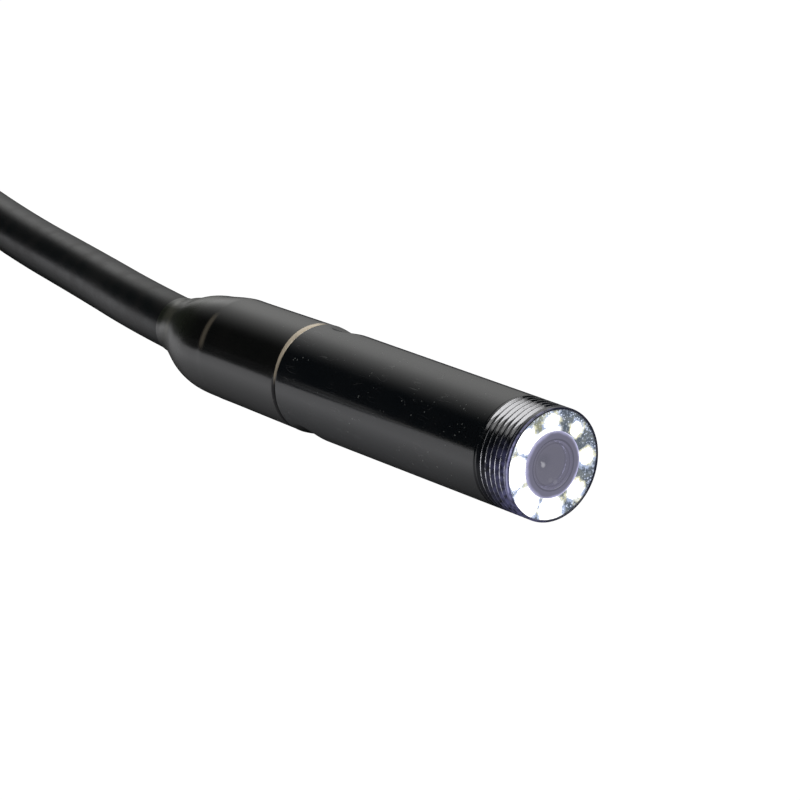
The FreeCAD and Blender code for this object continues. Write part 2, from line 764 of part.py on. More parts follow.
def make_plug_inside():
    middle = "plug_height/2"
    over_board = "plug_board_bottom + plug_board_thickness"
    wheel_y = "plug_y - plug_width/2 + wheel_radius - wheel_reach"
    flange_end = "plug_x + plug_wall + relief_flange"
    board = box(
        "plug_board_blank",
        f"{flange_end} + board_clearance",
        "plug_y - plug_board_width/2",
        "plug_board_bottom",
        "plug_board_length",
        "plug_board_width",
        "plug_board_thickness",
    )
    holes = [upright("board_pin_hole", "wheel_x", wheel_y, "0", "plug_height", "screw_clearance")]
    screws = []
    for place in ("boss_front", "boss_rear"):
        at = (f"plug_x + {place}", "plug_y")
        holes.append(upright(f"board_hole_{place}", *at, "0", "plug_height", "screw_clearance"))
        under = "screw_recess_depth - screw_head"
        head = upright(f"screw_head_{place}", *at, under, "screw_head", "screw_head_radius")
        shank = upright(f"screw_shank_{place}", *at, "screw_recess_depth", "screw_length", "screw_radius")
        screws.append(joined(f"screw_{place}", [head, shank]))
    node(cut("plug_board", board, holes))
    node(group("plug_screws", screws))

    wheel_low = f"{middle} - wheel_thickness/2"
    wheel = upright("wheel_blank", "wheel_x", wheel_y, wheel_low, "wheel_thickness", "wheel_radius")
    bore = upright("wheel_bore", "wheel_x", wheel_y, "0", "plug_height", "wheel_hole")
    node(cut("dimmer_wheel", wheel, [bore]))
    pin = ("wheel_x", wheel_y, "plug_wall", "plug_height - plug_wall - plug_wall")
    node(upright("dimmer_pin", *pin, "pin_radius"))

    at = ("button_x", "plug_y")
    flange_low = "button_flange_top - button_flange"
    cap_height = f"plug_height + button_proud - ( {flange_low} )"
    cap = upright("button_cap", *at, flange_low, cap_height, "button_radius")
    flange = upright("button_flange", *at, flange_low, "button_flange", "button_flange_radius")
    stem = upright("button_stem", *at, "button_bottom", f"{flange_low} - button_bottom", "button_stem_radius")
    node(joined("picture_button", [cap, flange, stem]))
    corner = ("button_x - switch_side/2", "plug_y - switch_side/2", over_board)
    node(box("button_switch", *corner, "switch_side", "switch_side", "switch_height"))

    wires = []
    for side in ("plug_wire_near", "plug_wire_far", "0 - plug_wire_near", "0 - plug_wire_far"):
        place = (f"{flange_end} + plug_wire_length", f"plug_y + {side}", f"{over_board} + wire_radius")
        wires.append(rod(f"plug_wire_{len(wires) + 1}", *place, "plug_wire_length", "wire_radius"))
    node(group("plug_wires", wires))


def make_relief():
    """The rubber strain relief: a taper outside the plug body, a neck through its wall and a flange."""
    middle = "plug_height/2"
    taper = doc.addObject("Part::Cone", "relief_taper")
    taper.Placement = Placement(Vector(0, 0, 0), BACKWARDS)
    bind(taper, Radius1="relief_root_radius", Radius2="relief_tip_radius", Height="relief_length")
    bind(taper, x="plug_x", y="plug_y", z=middle)
    neck = rod("relief_neck", "plug_x + plug_wall", "plug_y", middle, "plug_wall", "relief_neck_radius")
    flange_end = "plug_x + plug_wall + relief_flange"
    flange = rod("relief_flange_part", flange_end, "plug_y", middle, "relief_flange", "relief_flange_radius")
    solid = joined("relief_solid", [taper, neck, flange])
    start = "plug_x - relief_length + relief_hole_depth"
    bore = rod("relief_bore_part", start, "plug_y", middle, "relief_hole_depth", "relief_bore")
    node(cut("plug_relief", solid, [bore]))


def make_connector():
    """The plug's connector: a folded metal shell, the insulating tongue in it and four contacts on that."""
    middle = "plug_height/2"
    start = "plug_x + plug_length - connector_root"
    reach = "connector_root + connector_reach"
    low = f"{middle} - connector_height/2"
    outline = (start, "plug_y - connector_width/2", low, reach, "connector_width", "connector_height")
    inner_width = "connector_width - connector_sheet - connector_sheet"
    inner_height = "connector_height - connector_sheet - connector_sheet"
    inside = (start, "plug_y - connector_width/2 + connector_sheet", f"{low} + connector_sheet")
    opening = box("connector_inside", *inside, reach, inner_width, inner_height)
    node(cut("connector_shell", box("connector_block", *outline), [opening]))
    tongue = (f"{reach} - connector_sheet - plug_wall", inner_width, "tongue_height")
    node(box("connector_tongue", *inside, *tongue))
    contacts = []
    near, far = "contact_step/2", "( contact_step + contact_step/2 )"
    for side in (near, far, f"0 - {near}", f"0 - {far}"):
        corner = (
            f"{start} + connector_root + plug_wall",
            f"plug_y + {side} - contact_width/2",
            f"{low} + connector_sheet + tongue_height",
        )
        sizes = ("contact_length", "contact_width", "contact_thickness")
        contacts.append(box(f"contact_{len(contacts) + 1}", *corner, *sizes))
    node(group("connector_contacts", contacts))


def check_and_write():
    """Stops if any object failed or any part isn't one or more sound solids, then writes the parts."""
    doc.recompute()
    broken = [o.Label for o in doc.Objects if {"Invalid", "Error"} & set(o.State)]
    assert not broken, f"failed objects: {broken}"
    os.makedirs("parts", exist_ok=True)
    for piece in nodes:
        shape = piece.Shape
        sound = not shape.isNull() and shape.isValid() and shape.Solids
        assert sound, f"{piece.Label} is not a sound solid"
        print(f"{piece.Label:20s} solids {len(shape.Solids)} volume {shape.Volume:9.3f}")
        shape.exportStep(f"parts/{piece.Label}.step")
    print(len(nodes), "parts")


make_barrel()
make_lamp_ring()
make_lens_module()
make_electronics()
make_housing()
make_sleeve()
make_cable()
make_plug_shells()
make_plug_inside()
make_relief()
make_connector()
check_and_write()
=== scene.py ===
import logging
import math
import random
from dataclasses import dataclass
from enum import Enum
from functools import cache
from typing import Any, Callable, Mapping, Sequence

import bmesh
import bpy
from mathutils import Matrix, Vector


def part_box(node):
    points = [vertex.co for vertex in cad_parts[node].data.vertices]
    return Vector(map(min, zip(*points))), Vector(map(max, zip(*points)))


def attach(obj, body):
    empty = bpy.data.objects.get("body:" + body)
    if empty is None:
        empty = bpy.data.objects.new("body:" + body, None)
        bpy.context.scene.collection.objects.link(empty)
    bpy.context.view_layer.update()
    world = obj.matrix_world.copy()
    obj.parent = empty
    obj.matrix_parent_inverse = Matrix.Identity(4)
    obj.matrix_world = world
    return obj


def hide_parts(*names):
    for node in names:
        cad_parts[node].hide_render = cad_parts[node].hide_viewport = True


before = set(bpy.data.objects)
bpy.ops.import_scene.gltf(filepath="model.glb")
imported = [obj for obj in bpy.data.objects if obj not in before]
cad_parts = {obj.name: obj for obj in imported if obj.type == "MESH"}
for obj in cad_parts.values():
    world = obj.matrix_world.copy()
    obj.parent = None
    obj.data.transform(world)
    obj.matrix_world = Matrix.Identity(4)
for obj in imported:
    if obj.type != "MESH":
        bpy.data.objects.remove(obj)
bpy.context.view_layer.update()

# A slim waterproof inspection camera on its cable: the head with its lamp ring and accessory thread, the
# rubber sleeve, the cable wound up and tied, and the plug with its dimmer wheel and picture button.
# Pieces are drawn in millimetres of the frame and built in metres.

MM = 0.001
TURN = 2 * math.pi
CAMERA_BODY = "camera"

Colour = tuple[float, float, float]
Amount = "Field | float"

log = logging.getLogger("inspection_camera")


def corners(node: str) -> tuple[Vector, Vector]:
    """The lowest and highest corners of a CAD node, in millimetres."""
    low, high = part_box(node)
    return low / MM, high / MM


NOSE = corners("front_barrel")[1].x
AXIS_HEIGHT = sum(corner.z for corner in corners("front_barrel")) / 2


# Shader maths.


class Field:
    """A number that varies over a surface; arithmetic on it adds Math nodes."""

    def __init__(self, wiring: "Wiring", socket: bpy.types.NodeSocket) -> None:
        """Keeps the socket and the node tree that it is in."""
        self.wiring = wiring
        self.socket = socket

    def __add__(self, other: Amount) -> "Field":
        """This and another, added."""
        return self.wiring.math("ADD", self, other)

    def __sub__(self, other: Amount) -> "Field":
        """This less another."""
        return self.wiring.math("SUBTRACT", self, other)

    def __rsub__(self, other: Amount) -> "Field":
        """Another less this."""
        return self.wiring.math("SUBTRACT", other, self)

    def __mul__(self, other: Amount) -> "Field":
        """This times another."""
        return self.wiring.math("MULTIPLY", self, other)

    __radd__ = __add__
    __rmul__ = __mul__


class Triple:
    """A colour or a point that varies over a surface, with arithmetic through Vector Math nodes."""

    def __init__(self, wiring: "Wiring", socket: bpy.types.NodeSocket) -> None:
        """Keeps the socket and the node tree that it is in."""
        self.wiring = wiring
        self.socket = socket

    def __add__(self, other: "Triple | Colour") -> "Triple":
        """This and another, added."""
        return self.wiring.vector("ADD", self, other)

    def __mul__(self, other: "Triple | Colour | Field | float") -> "Triple":
        """This times a number, or part by part times another."""
        if isinstance(other, (Triple, tuple)):
            return self.wiring.vector("MULTIPLY", self, other)
        scale = self.wiring.node("ShaderNodeVectorMath", {"operation": "SCALE"}, {0: self, "Scale": other})
        return Triple(self.wiring, scale.outputs[0])

    __radd__ = __add__
    __rmul__ = __mul__

    def parts(self) -> tuple[Field, Field, Field]:
        """The three numbers one by one."""
        split = self.wiring.node("ShaderNodeSeparateXYZ", inputs={0: self})
        return tuple(Field(self.wiring, output) for output in split.outputs)


class Wiring:
    """A node tree and the ways of adding to it."""

    def __init__(self, tree: bpy.types.NodeTree) -> None:
        """Empties the tree and keeps it."""
        tree.nodes.clear()
        self.tree = tree

    def node(
        self,
        kind: str,
        settings: Mapping[str, Any] | None = None,
        inputs: Mapping[str | int, Any] | None = None,
    ) -> bpy.types.Node:
        """Adds one node.

        Args:
            kind: The node's type.
            settings: Its properties, set before its sockets.
            inputs: Values or varying values of its sockets, by name or number.

        Returns:
            The node.
        """
        made = self.tree.nodes.new(kind)
        for name, value in (settings or {}).items():
            setattr(made, name, value)
        for name, value in (inputs or {}).items():
            self.feed(made.inputs[name], value)
        return made

    def feed(self, socket: bpy.types.NodeSocket, value: Any) -> None:
        """Links a varying value to a socket, or sets a plain one on it.

        Args:
            socket: The socket.
            value: A Field, a Triple, an output socket, a number or a tuple.
        """
        if isinstance(value, (Field, Triple)):
            value = value.socket
        if isinstance(value, bpy.types.NodeSocket):
            self.tree.links.new(value, socket)
        elif socket.type == "RGBA":
            socket.default_value = (*value, 1.0)
        else:
            socket.default_value = value

    def math(self, operation: str, *values: Amount) -> Field:
        """A Math node of that operation on those values."""
        made = self.node("ShaderNodeMath", {"operation": operation}, dict(enumerate(values)))
        return Field(self, made.outputs[0])

    def vector(self, operation: str, *values: "Triple | Colour") -> Triple:
        """A Vector Math node of that operation on those values."""
        made = self.node("ShaderNodeVectorMath", {"operation": operation}, dict(enumerate(values)))
        return Triple(self, made.outputs[0])

    def smooth(self, value: Field, low: float, high: float) -> Field:
        """0 where the value is at low, 1 where it is at high, and smooth between."""
        inputs = {"Value": value, "From Min": low, "From Max": high}
        made = self.node("ShaderNodeMapRange", {"interpolation_type": "SMOOTHSTEP"}, inputs)
        return Field(self, made.outputs["Result"])

    def stripe(self, value: Field, middle: float, outer: float, inner: float) -> Field:
        """1 where the value is within inner of the middle, and 0 where it is farther off than outer."""
        return self.smooth(self.math("ABSOLUTE", value - middle), outer, inner)

    def facing(self, angle: Field, middle: float, low: float, high: float) -> Field:
        """1 round the middle angle and 0 away from it; low and high are cosines of the angle between."""
        return self.smooth(self.math("COSINE", angle - middle), low, high)

    def distance(self, across: Field, up: Field) -> Field:
        """How far it is to a point so far across and so far up."""
        return self.math("SQRT", across * across + up * up)

    def between(self, share: Field, low: Amount, high: Amount) -> Field:
        """A number that goes from low to high as share goes from 0 to 1."""
        made = self.node("ShaderNodeMix", {"data_type": "FLOAT"}, {0: share, 2: low, 3: high})
        return Field(self, made.outputs[0])

    def mix(self, share: Amount, first: "Triple | Colour", second: "Triple | Colour") -> Triple:
        """A colour that goes from the first to the second as share goes from 0 to 1."""
        made = self.node("ShaderNodeMix", {"data_type": "RGBA"}, {0: share, 6: first, 7: second})
        return Triple(self, made.outputs[2])

    def noise(self, point: Triple, scale: float, detail: float = 3.0) -> Field:
        """Soft noise, `scale` lumps to the millimetre."""
        inputs = {"Vector": point, "Scale": scale, "Detail": detail}
        return Field(self, self.node("ShaderNodeTexNoise", inputs=inputs).outputs[0])

    def specks(self, point: Triple, scale: float, share: float, radius: float) -> Field:
        """Small round specks: 1 in a speck and 0 around it.

        Args:
            point: Where, in millimetres.
            scale: How many cells there are to the millimetre.
            share: How many of the cells have a speck, from 0 to 1.
            radius: How large a speck is, as a share of its cell.

        Returns:
            The varying value.
        """
        cells = self.node("ShaderNodeTexVoronoi", inputs={"Vector": point, "Scale": scale})
        chance = Triple(self, cells.outputs["Color"]).parts()[0]
        chosen = self.smooth(chance, 1.0 - share, 1.0 - share + 0.05)
        return chosen * self.smooth(Field(self, cells.outputs["Distance"]), radius, radius * 0.5)

    def hairs(self, point: Triple, stretch: Colour, width: float) -> Field:
        """Fine lines that wander over the surface, in some places only.

        Args:
            point: Where, in millimetres.
            stretch: Lumps to the millimetre along each axis; the lines run along the smallest.
            width: How wide the lines are, as a share of the noise that they follow.

        Returns:
            The varying value, 1 on a line.
        """
        line = self.math("ABSOLUTE", self.noise(point * stretch, 1.0, 1.0) - 0.5)
        return self.smooth(line, width, 0.0) * self.smooth(self.noise(point, 0.5, 1.0), 0.5, 0.7)

    def relief(self, height: Field, depth: float) -> Triple:
        """The normal of a surface whose height varies by `depth` millimetres."""
        bump = self.node("ShaderNodeBump", inputs={"Height": height, "Distance": depth * MM})
        return Triple(self, bump.outputs[0])


class Shading(Wiring):
    """A material: one principled surface and what feeds it."""

    def __init__(self, name: str) -> None:
        """Makes the material with its surface and output."""
        self.material = bpy.data.materials.new(name)
        self.material.use_nodes = True
        super().__init__(self.material.node_tree)
        self.surface = self.node("ShaderNodeBsdfPrincipled")
        self.node("ShaderNodeOutputMaterial", inputs={"Surface": self.surface.outputs[0]})

    def place(self) -> Triple:
        """The place on the object, in millimetres of the frame."""
        return Triple(self, self.node("ShaderNodeTexCoord").outputs["Object"]) * (1 / MM)

    def around_axis(self, point: Triple) -> tuple[Field, Field, Field]:
        """A place on the head as a turner sees it.

        Args:
            point: The place in millimetres.

        Returns:
            Its distance back from the nose, its distance from the axis, and its angle from the top.
        """
        x, y, z = point.parts()
        z = z - AXIS_HEIGHT
        return NOSE - x, self.distance(y, z), self.math("ARCTAN2", y, z)

    def set(self, **sockets: Any) -> None:
        """Sets or feeds the surface's sockets; a socket's name is written with underscores."""
        for name, value in sockets.items():
            self.feed(self.surface.inputs[name.replace("_", " ")], value)


# Finishes. An angle round the head is in radians from the top, positive towards +Y.

DUST: Colour = (0.32, 0.31, 0.28)
DARK: Colour = (0.0, 0.0, 0.0)


@dataclass(frozen=True)
class Finish:
    """A finish of two tones, with a grain, a gloss, a fine relief and a few specks of dust.

    Attributes:
        name: The material's name.
        tone: The main colour.
        second: The colour of the lighter patches.
        gloss: The least and the most roughness.
        metallic: 1 for bare metal.
        specular: How strongly the surface mirrors, 0.5 for most.
        grain: How many lumps of grain there are to the millimetre.
        relief: How deep the grain is, in millimetres.
        dust: What share of the surface's cells holds a speck.
        coat: How much clear coat there is.
        alpha: How opaque it is.
    """

    name: str
    tone: Colour
    second: Colour
    gloss: tuple[float, float] = (0.35, 0.5)
    metallic: float = 0.0
    specular: float = 0.5
    grain: float = 6.0
    relief: float = 0.004
    dust: float = 0.0
    coat: float = 0.0
    alpha: float = 1.0

    def material(self) -> bpy.types.Material:
        """Makes the material."""
        shading = Shading(self.name)
        shading.set(Metallic=self.metallic, Specular_IOR_Level=self.specular)
        shading.set(Coat_Weight=self.coat, Coat_Roughness=0.08, Alpha=self.alpha)
        self.dress(shading)
        return shading.material

    def dress(self, s: Shading) -> None:
        """Feeds the surface with its grain, patches and dust."""
        point = s.place()
        grain = s.noise(point, self.grain)
        patches = s.smooth(s.noise(point, self.grain / 9), 0.35, 0.7)
        dust = s.specks(point, 1.7, self.dust, 0.12)
        colour = s.mix(patches, self.tone, self.second)
        s.set(
            Base_Color=s.mix(dust, colour, DUST),
            Roughness=s.between(patches * 0.6 + grain * 0.4, *self.gloss),
            Normal=s.relief(grain + dust * 0.5, self.relief),
        )


@dataclass(frozen=True)
class BarrelFinish(Finish):
    """Glossy black plating, worn bright along the thread's crests, with painted sheen on the flanks and the
    lamps' light painted on the nose.

    Attributes:
        bare: The metal of the worn crests.
        lit: The painted sheen of the soft light on the thread's flanks.
        spill: The lamps' light on the nose.
        edge: The lamps' light on the lip.
        face: The lamps' light on the front face.
        thread: Where the thread starts and ends, back from the nose.
        crest: The least and the full radius of a worn crest.
        flank: The least and the full radius of a flank where the sheen is painted.
        worn_angle: The middle of the side where the crests are worn most.
        flank_angle: The middle of the side where the flanks' sheen is painted.
        lip_angle: The middle of the lip's second bright stretch.
        spill_angle: The middle of the side that the lamps' light falls on.
    """

    bare: Colour = (0.80, 0.81, 0.84)
    lit: Colour = (0.21, 0.21, 0.215)
    spill: Colour = (0.08, 0.08, 0.17)
    edge: Colour = (0.3, 0.3, 0.5)
    face: Colour = (0.008, 0.009, 0.02)
    thread: tuple[float, float] = (0.4, 3.55)
    crest: tuple[float, float] = (3.982, 3.994)
    flank: tuple[float, float] = (3.69, 3.75)
    worn_angle: float = -1.5
    flank_angle: float = -0.4
    lip_angle: float = -0.65
    spill_angle: float = -2.15

    def dress(self, s: Shading) -> None:
        """Adds the wear on the crests, the painted sheen on the flanks, the lamps' light painted on the nose,
        dust, hair scratches and smudges.
        """
        point = s.place()
        back, radius, angle = s.around_axis(point)
        start, end = self.thread
        threaded = s.smooth(back, end + 0.05, end) * s.smooth(back, start - 0.12, start)
        wear = s.smooth(s.noise(point, 3.0, 4), 0.3, 0.55)
        side = s.facing(angle, self.worn_angle, 0.84, 0.96) * 0.75 + 0.25
        crest = s.smooth(radius, *self.crest) * threaded * s.smooth(back, end - 0.23, end - 0.31)
        crest = crest * wear * side
        # Painted sheen: the flanks are lighter, and metal, on the side where the soft light falls on them.
        flank = self.painted_flank_sheen(s, point, radius, angle) * threaded
        smudge = s.noise(point, 0.45, 4)
        dusty = s.smooth(s.noise(point, 0.3, 2) - back * 0.008, 0.3, 0.5)
        dust = s.specks(point, 2.7, 0.35, 0.2) * dusty
        hairs = s.hairs(point, (0.35, 1.9, 2.3), 0.012)
        colour = s.mix(smudge, self.tone, self.second)
        colour = s.mix(dust * 0.6, colour, (0.26, 0.27, 0.26))
        colour = s.mix(hairs * 0.3, colour, (0.2, 0.2, 0.2))
        colour = s.mix(flank, colour, self.lit)
        rough = s.between(smudge, *self.gloss) + dust * 0.3
        s.set(
            Base_Color=s.mix(crest, colour, self.bare),
            Metallic=s.math("MAXIMUM", crest, flank),
            Roughness=rough + crest * 0.1 + flank * 0.12,
            Emission_Color=self.light(s, point, back, angle, side, wear),
            Emission_Strength=1.0,
            Normal=s.relief(s.noise(point, 5.0, 4) + dust * 0.6 - hairs * 0.4, self.relief),
        )

    def painted_flank_sheen(self, s: Shading, point: Triple, radius: Field, angle: Field) -> Field:
        """Where sheen is painted on the thread's flanks: a wedge that narrows towards the near side.

        Args:
            s: The material.
            point: The place in millimetres.
            radius: The distance from the axis.
            angle: The angle from the top.

        Returns:
            1 where the sheen is painted on a flank and 0 elsewhere.
        """
        reach = s.math("COSINE", angle - self.flank_angle) + (s.noise(point, 2.2, 3) - 0.5) * 0.1
        below_crest = s.smooth(reach, 0.905, 0.935) * s.smooth(radius, 3.996, 3.985)
        narrowing = s.smooth(angle, -0.42, -0.85) * 0.25
        return below_crest * s.smooth(radius - narrowing, *self.flank)

    def light(self, s: Shading, point: Triple, back: Field, angle: Field, side: Field, wear: Field) -> Triple:
        """The lamps' light on the front face, on the nose and along the lip.

        Args:
            s: The material.
            point: The place in millimetres.
            back: The distance back from the nose.
            angle: The angle from the top.
            side: How much the crests are worn at that angle.
            wear: The wear's unevenness.

        Returns:
            The colour of the light.
        """
        near = s.smooth(back, 4.4, 0.0) * s.facing(angle, self.spill_angle, 0.3, 0.95)
        near = near * near + s.smooth(back, 2.6, 0.2) * side * 0.18
        near = near * s.smooth(s.noise(point, 2.0, 3), 0.2, 0.75)
        upper = s.facing(angle, self.lip_angle, 0.75, 0.95) * 0.45
        rim = s.stripe(back, 0.1, 0.1, 0.03) * (side + upper - 0.2) * wear
        light = s.mix(s.smooth(back, 0.06, 0.015), DARK, self.face)
        return s.mix(rim, s.mix(near, light, self.spill), self.edge)


@dataclass(frozen=True)
class SleeveFinish(Finish):
    """Satin rubber with a tan line of adhesive along its front edge that carries a painted highlight, a
    painted highlight along the shoulder and a painted shadow under the front edge; greener on the tail's
    upper side.

    Attributes:
        glue_and_highlight: The adhesive line's colour, with the highlight painted on it; the shoulder's
            painted highlight takes it too.
        tail_tone: The tint over the tail's upper side.
        pale: The colour of a lighter patch on the tail's near side.
        gap: The shadow under the front edge.
        front: How far back the front edge is.
        ridge_highlight: How far back the shoulder's raised edge is, where a highlight is painted along it.
        tail: Where the tail's tint starts and where it is full.
        neck: How far back that lighter patch is.
    """

    glue_and_highlight: Colour = (0.9, 0.77, 0.58)
    tail_tone: Colour = (0.017, 0.021, 0.013)
    pale: Colour = (0.12, 0.12, 0.09)
    gap: Colour = (0.0, 0.0, 0.001)
    front: float = 26.42
    ridge_highlight: float = 35.7
    tail: tuple[float, float] = (36.5, 40.0)
    neck: float = 42.4

    def dress(self, s: Shading) -> None:
        """Adds the adhesive line with its painted highlight, the painted highlight on the shoulder, the
        painted shadow under the front edge, the tail's tint, a lighter patch, dust and a soft grain.
        """
        point = s.place()
        back, _, angle = s.around_axis(point)
        patches = s.noise(point, 0.4, 3)
        grain = s.noise(point, self.grain, 4)
        dust = s.specks(point, 1.6, self.dust, 0.13)
        # The adhesive line carries a painted highlight: on the upper side only, wider and brighter towards
        # the top, where the light catches the rounded edge.
        widening = s.smooth(angle, -1.5, -0.2)
        highlight_side = s.smooth(angle, -1.55, -1.3) * s.smooth(angle, 0.3, 0.0)
        glue_and_highlight = s.smooth(back - widening * 0.3, self.front + 0.1, self.front) * highlight_side
        glue_and_highlight = glue_and_highlight * (s.smooth(s.noise(point, 1.2, 2), 0.2, 0.5) * 0.5 + 0.5) * (widening * 0.6 + 0.4)
        gap = s.smooth(back, self.front + 0.3, self.front + 0.18) * s.smooth(angle, -1.3, -1.6)
        # A painted highlight along the shoulder's raised edge, on one side only.
        ridge_highlight = s.stripe(back, self.ridge_highlight, 0.42, 0.05) * s.facing(angle, -0.98, 0.9, 0.99)
        tail = s.smooth(back, *self.tail)
        # A lighter patch on the tail's near side.
        pale_patch = s.stripe(back, self.neck, 1.5, 0.2) * s.facing(angle, -0.9, 0.5, 0.95)
        pale_patch = pale_patch * s.smooth(patches, 0.3, 0.6)
        colour = s.mix(patches, self.tone, self.second)
        # The tail's tint, on its upper side only.
        colour = s.mix(tail * s.facing(angle, 0.0, -0.2, 0.5), colour, self.tail_tone)
        colour = s.mix(pale_patch, colour, self.pale)
        colour = s.mix(ridge_highlight * 0.13, colour, self.glue_and_highlight)
        colour = s.mix(gap, colour, self.gap)
        colour = s.mix(dust * 0.5, colour, (0.3, 0.3, 0.27))
        s.set(
            Base_Color=s.mix(glue_and_highlight, colour, self.glue_and_highlight),
            Roughness=s.between(patches * 0.5 + grain * 0.5, *self.gloss) + tail * 0.15 + gap * 0.6,
            Normal=s.relief(grain + dust, self.relief),
        )


@dataclass(frozen=True)
class ResinFinish(Finish):
    """The lamp window: clear resin full of glints, lit from below by the lamps; its glow, its glints and its
    tints are painted light.

    Attributes:
        warm: The glow's warmer edge.
        cool: The glow's cooler edge.
        grey: The grey patches in the resin's painted light.
        sparkle: The lit glints.
        white: The glow itself.
        lamp_circle: The radius of the circle that the lamps stand on.
        lamps: How many lamps there are.
        glow_angle: The middle of the side where the glows run together.
        inner_angle: The middle of the side where the glow reaches the lens ring.
        dim_angle: The middle of the side where the glows are smallest.
    """

    warm: Colour = (0.62, 0.6, 0.36)
    cool: Colour = (0.22, 0.3, 0.5)
    grey: Colour = (0.2, 0.22, 0.22)
    sparkle: Colour = (0.8, 0.9, 1.15)
    white: Colour = (2.0, 2.0, 2.0)
    lamp_circle: float = 2.98
    lamps: int = 8
    glow_angle: float = -2.1
    inner_angle: float = -0.35
    dim_angle: float = 0.8

    def dress(self, s: Shading) -> None:
        """Adds the painted glow round each lamp, the painted glints between them and the painted tints."""
        point = s.place()
        _, radius, angle = s.around_axis(point)
        blur = (s.noise(point, 3.2, 4) - 0.5) * 0.8
        reach = self.from_lamp(s, radius, angle, blur)
        inner = s.smooth(radius, 2.75, 2.5) * s.facing(angle, self.inner_angle, 0.72, 0.9)
        glow = s.math("MAXIMUM", s.smooth(reach, 0.68, 0.5), inner)
        glints = s.specks(point, 5.5, 0.72, 0.42)
        fine = s.specks(point, 8.5, 0.7, 0.42)
        # The resin's painted light away from the lamps: lighter and olive on one side, with grey patches.
        body = s.mix(s.facing(angle, -0.42, 0.8, 0.97), self.tone, self.second)
        body = s.mix(s.smooth(s.noise(point, 1.4, 2), 0.4, 0.65) * 0.7, body, self.grey)
        edge = s.mix(s.smooth(s.noise(point, 1.1, 2), 0.42, 0.58), self.cool, self.warm)
        lit = s.mix(s.smooth(reach, 0.95, 0.7), body, edge + (0.2, 0.2, 0.2))
        sparkle = s.smooth(radius, 2.6, 3.3) * 0.6 + s.smooth(reach, 1.4, 0.6) * 0.4
        sparkle = sparkle * s.smooth(s.noise(point, 0.8, 2), 0.25, 0.55)
        light = s.mix((glints + fine * 0.7) * sparkle, lit, self.sparkle)
        s.set(
            Base_Color=s.mix(glints, (0.04, 0.045, 0.055), (0.12, 0.13, 0.15)),
            Emission_Color=s.mix(glow, light, self.white),
            Emission_Strength=1.0,
            Roughness=s.between(glints, 0.12, 0.35),
            Normal=s.relief(glints + s.noise(point, 1.6, 2), self.relief),
        )

    def from_lamp(self, s: Shading, radius: Field, angle: Field, blur: Field) -> Field:
        """How far a place is from the nearest lamp, shorter where the glows are larger.

        Args:
            s: The material.
            radius: The distance from the axis.
            angle: The angle from the top.
            blur: The unevenness of the glow.

        Returns:
            The distance in millimetres.
        """
        half = math.pi / self.lamps
        along = s.math("WRAP", angle, half, -half) * self.lamp_circle
        reach = s.distance(along, radius - self.lamp_circle) + blur
        reach = reach - s.facing(angle, self.glow_angle, -0.5, 0.8) * 0.52
        return reach + s.facing(angle, self.dim_angle, 0.85, 0.97) * 0.14


@dataclass(frozen=True)
class LitFinish(Finish):
    """A part that the lamps light from the side: brighter towards its rim.

    Attributes:
        rim: The light at the rim.
        middle: The light at the middle.
        glint: The colour of a reflection.
        inner: The radius where the light starts to grow.
        outer: The radius where it is fullest.
        groove: The radius of a darker line.
        bright_angle: The middle of the side where the rim is brightest.
        glints: Small reflections of the lamps: place across and up from the axis, size and strength.
    """

    rim: Colour = (0.3, 0.28, 0.42)
    middle: Colour = (0.15, 0.15, 0.2)
    glint: Colour = (0.95, 0.95, 1.0)
    inner: float = 2.0
    outer: float = 2.36
    groove: float = 1.78
    bright_angle: float = 1.9
    glints: tuple[tuple[float, float, float, float], ...] = ()

    def dress(self, s: Shading) -> None:
        """Adds the light, grain and a faint unevenness."""
        point = s.place()
        _, radius, angle = s.around_axis(point)
        grain = s.noise(point, self.grain, 4)
        uneven = (s.noise(point, 0.9, 2) - 0.5) * 0.35
        light = s.mix(s.smooth(radius + uneven, self.inner, self.outer), self.middle, self.rim)
        light = light * (1.0 - s.stripe(radius, self.groove, 0.09, 0.01) * 0.4)
        bright = s.facing(angle, self.bright_angle, -0.2, 0.9) * s.smooth(radius, 2.05, 2.35)
        light = light * (bright * 1.2 + 1.0)
        _, y, z = point.parts()
        for across, up, reach, strength in self.glints:
            spot = s.smooth(s.distance(y - across, z - (AXIS_HEIGHT + up)), reach, reach * 0.3)
            light = s.mix(spot * strength, light, self.glint)
        s.set(
            Base_Color=s.mix(grain, self.tone, self.second),
            Emission_Color=light,
            Emission_Strength=1.0,
            Roughness=s.between(grain, *self.gloss),
            Normal=s.relief(grain, self.relief),
        )


@dataclass(frozen=True)
class GlowFinish(Finish):
    """A lamp that is on: white, a little warm at its foot."""

    def dress(self, s: Shading) -> None:
        """Adds the light."""
        point = s.place()
        cells = s.noise(point, 3.0, 2)
        s.set(
            Base_Color=(0.9, 0.88, 0.7),
            Emission_Color=s.mix(s.smooth(cells, 0.3, 0.6), self.tone, self.second),
            Emission_Strength=4.0,
            Roughness=s.between(cells, *self.gloss),
            Normal=s.relief(cells, self.relief),
        )


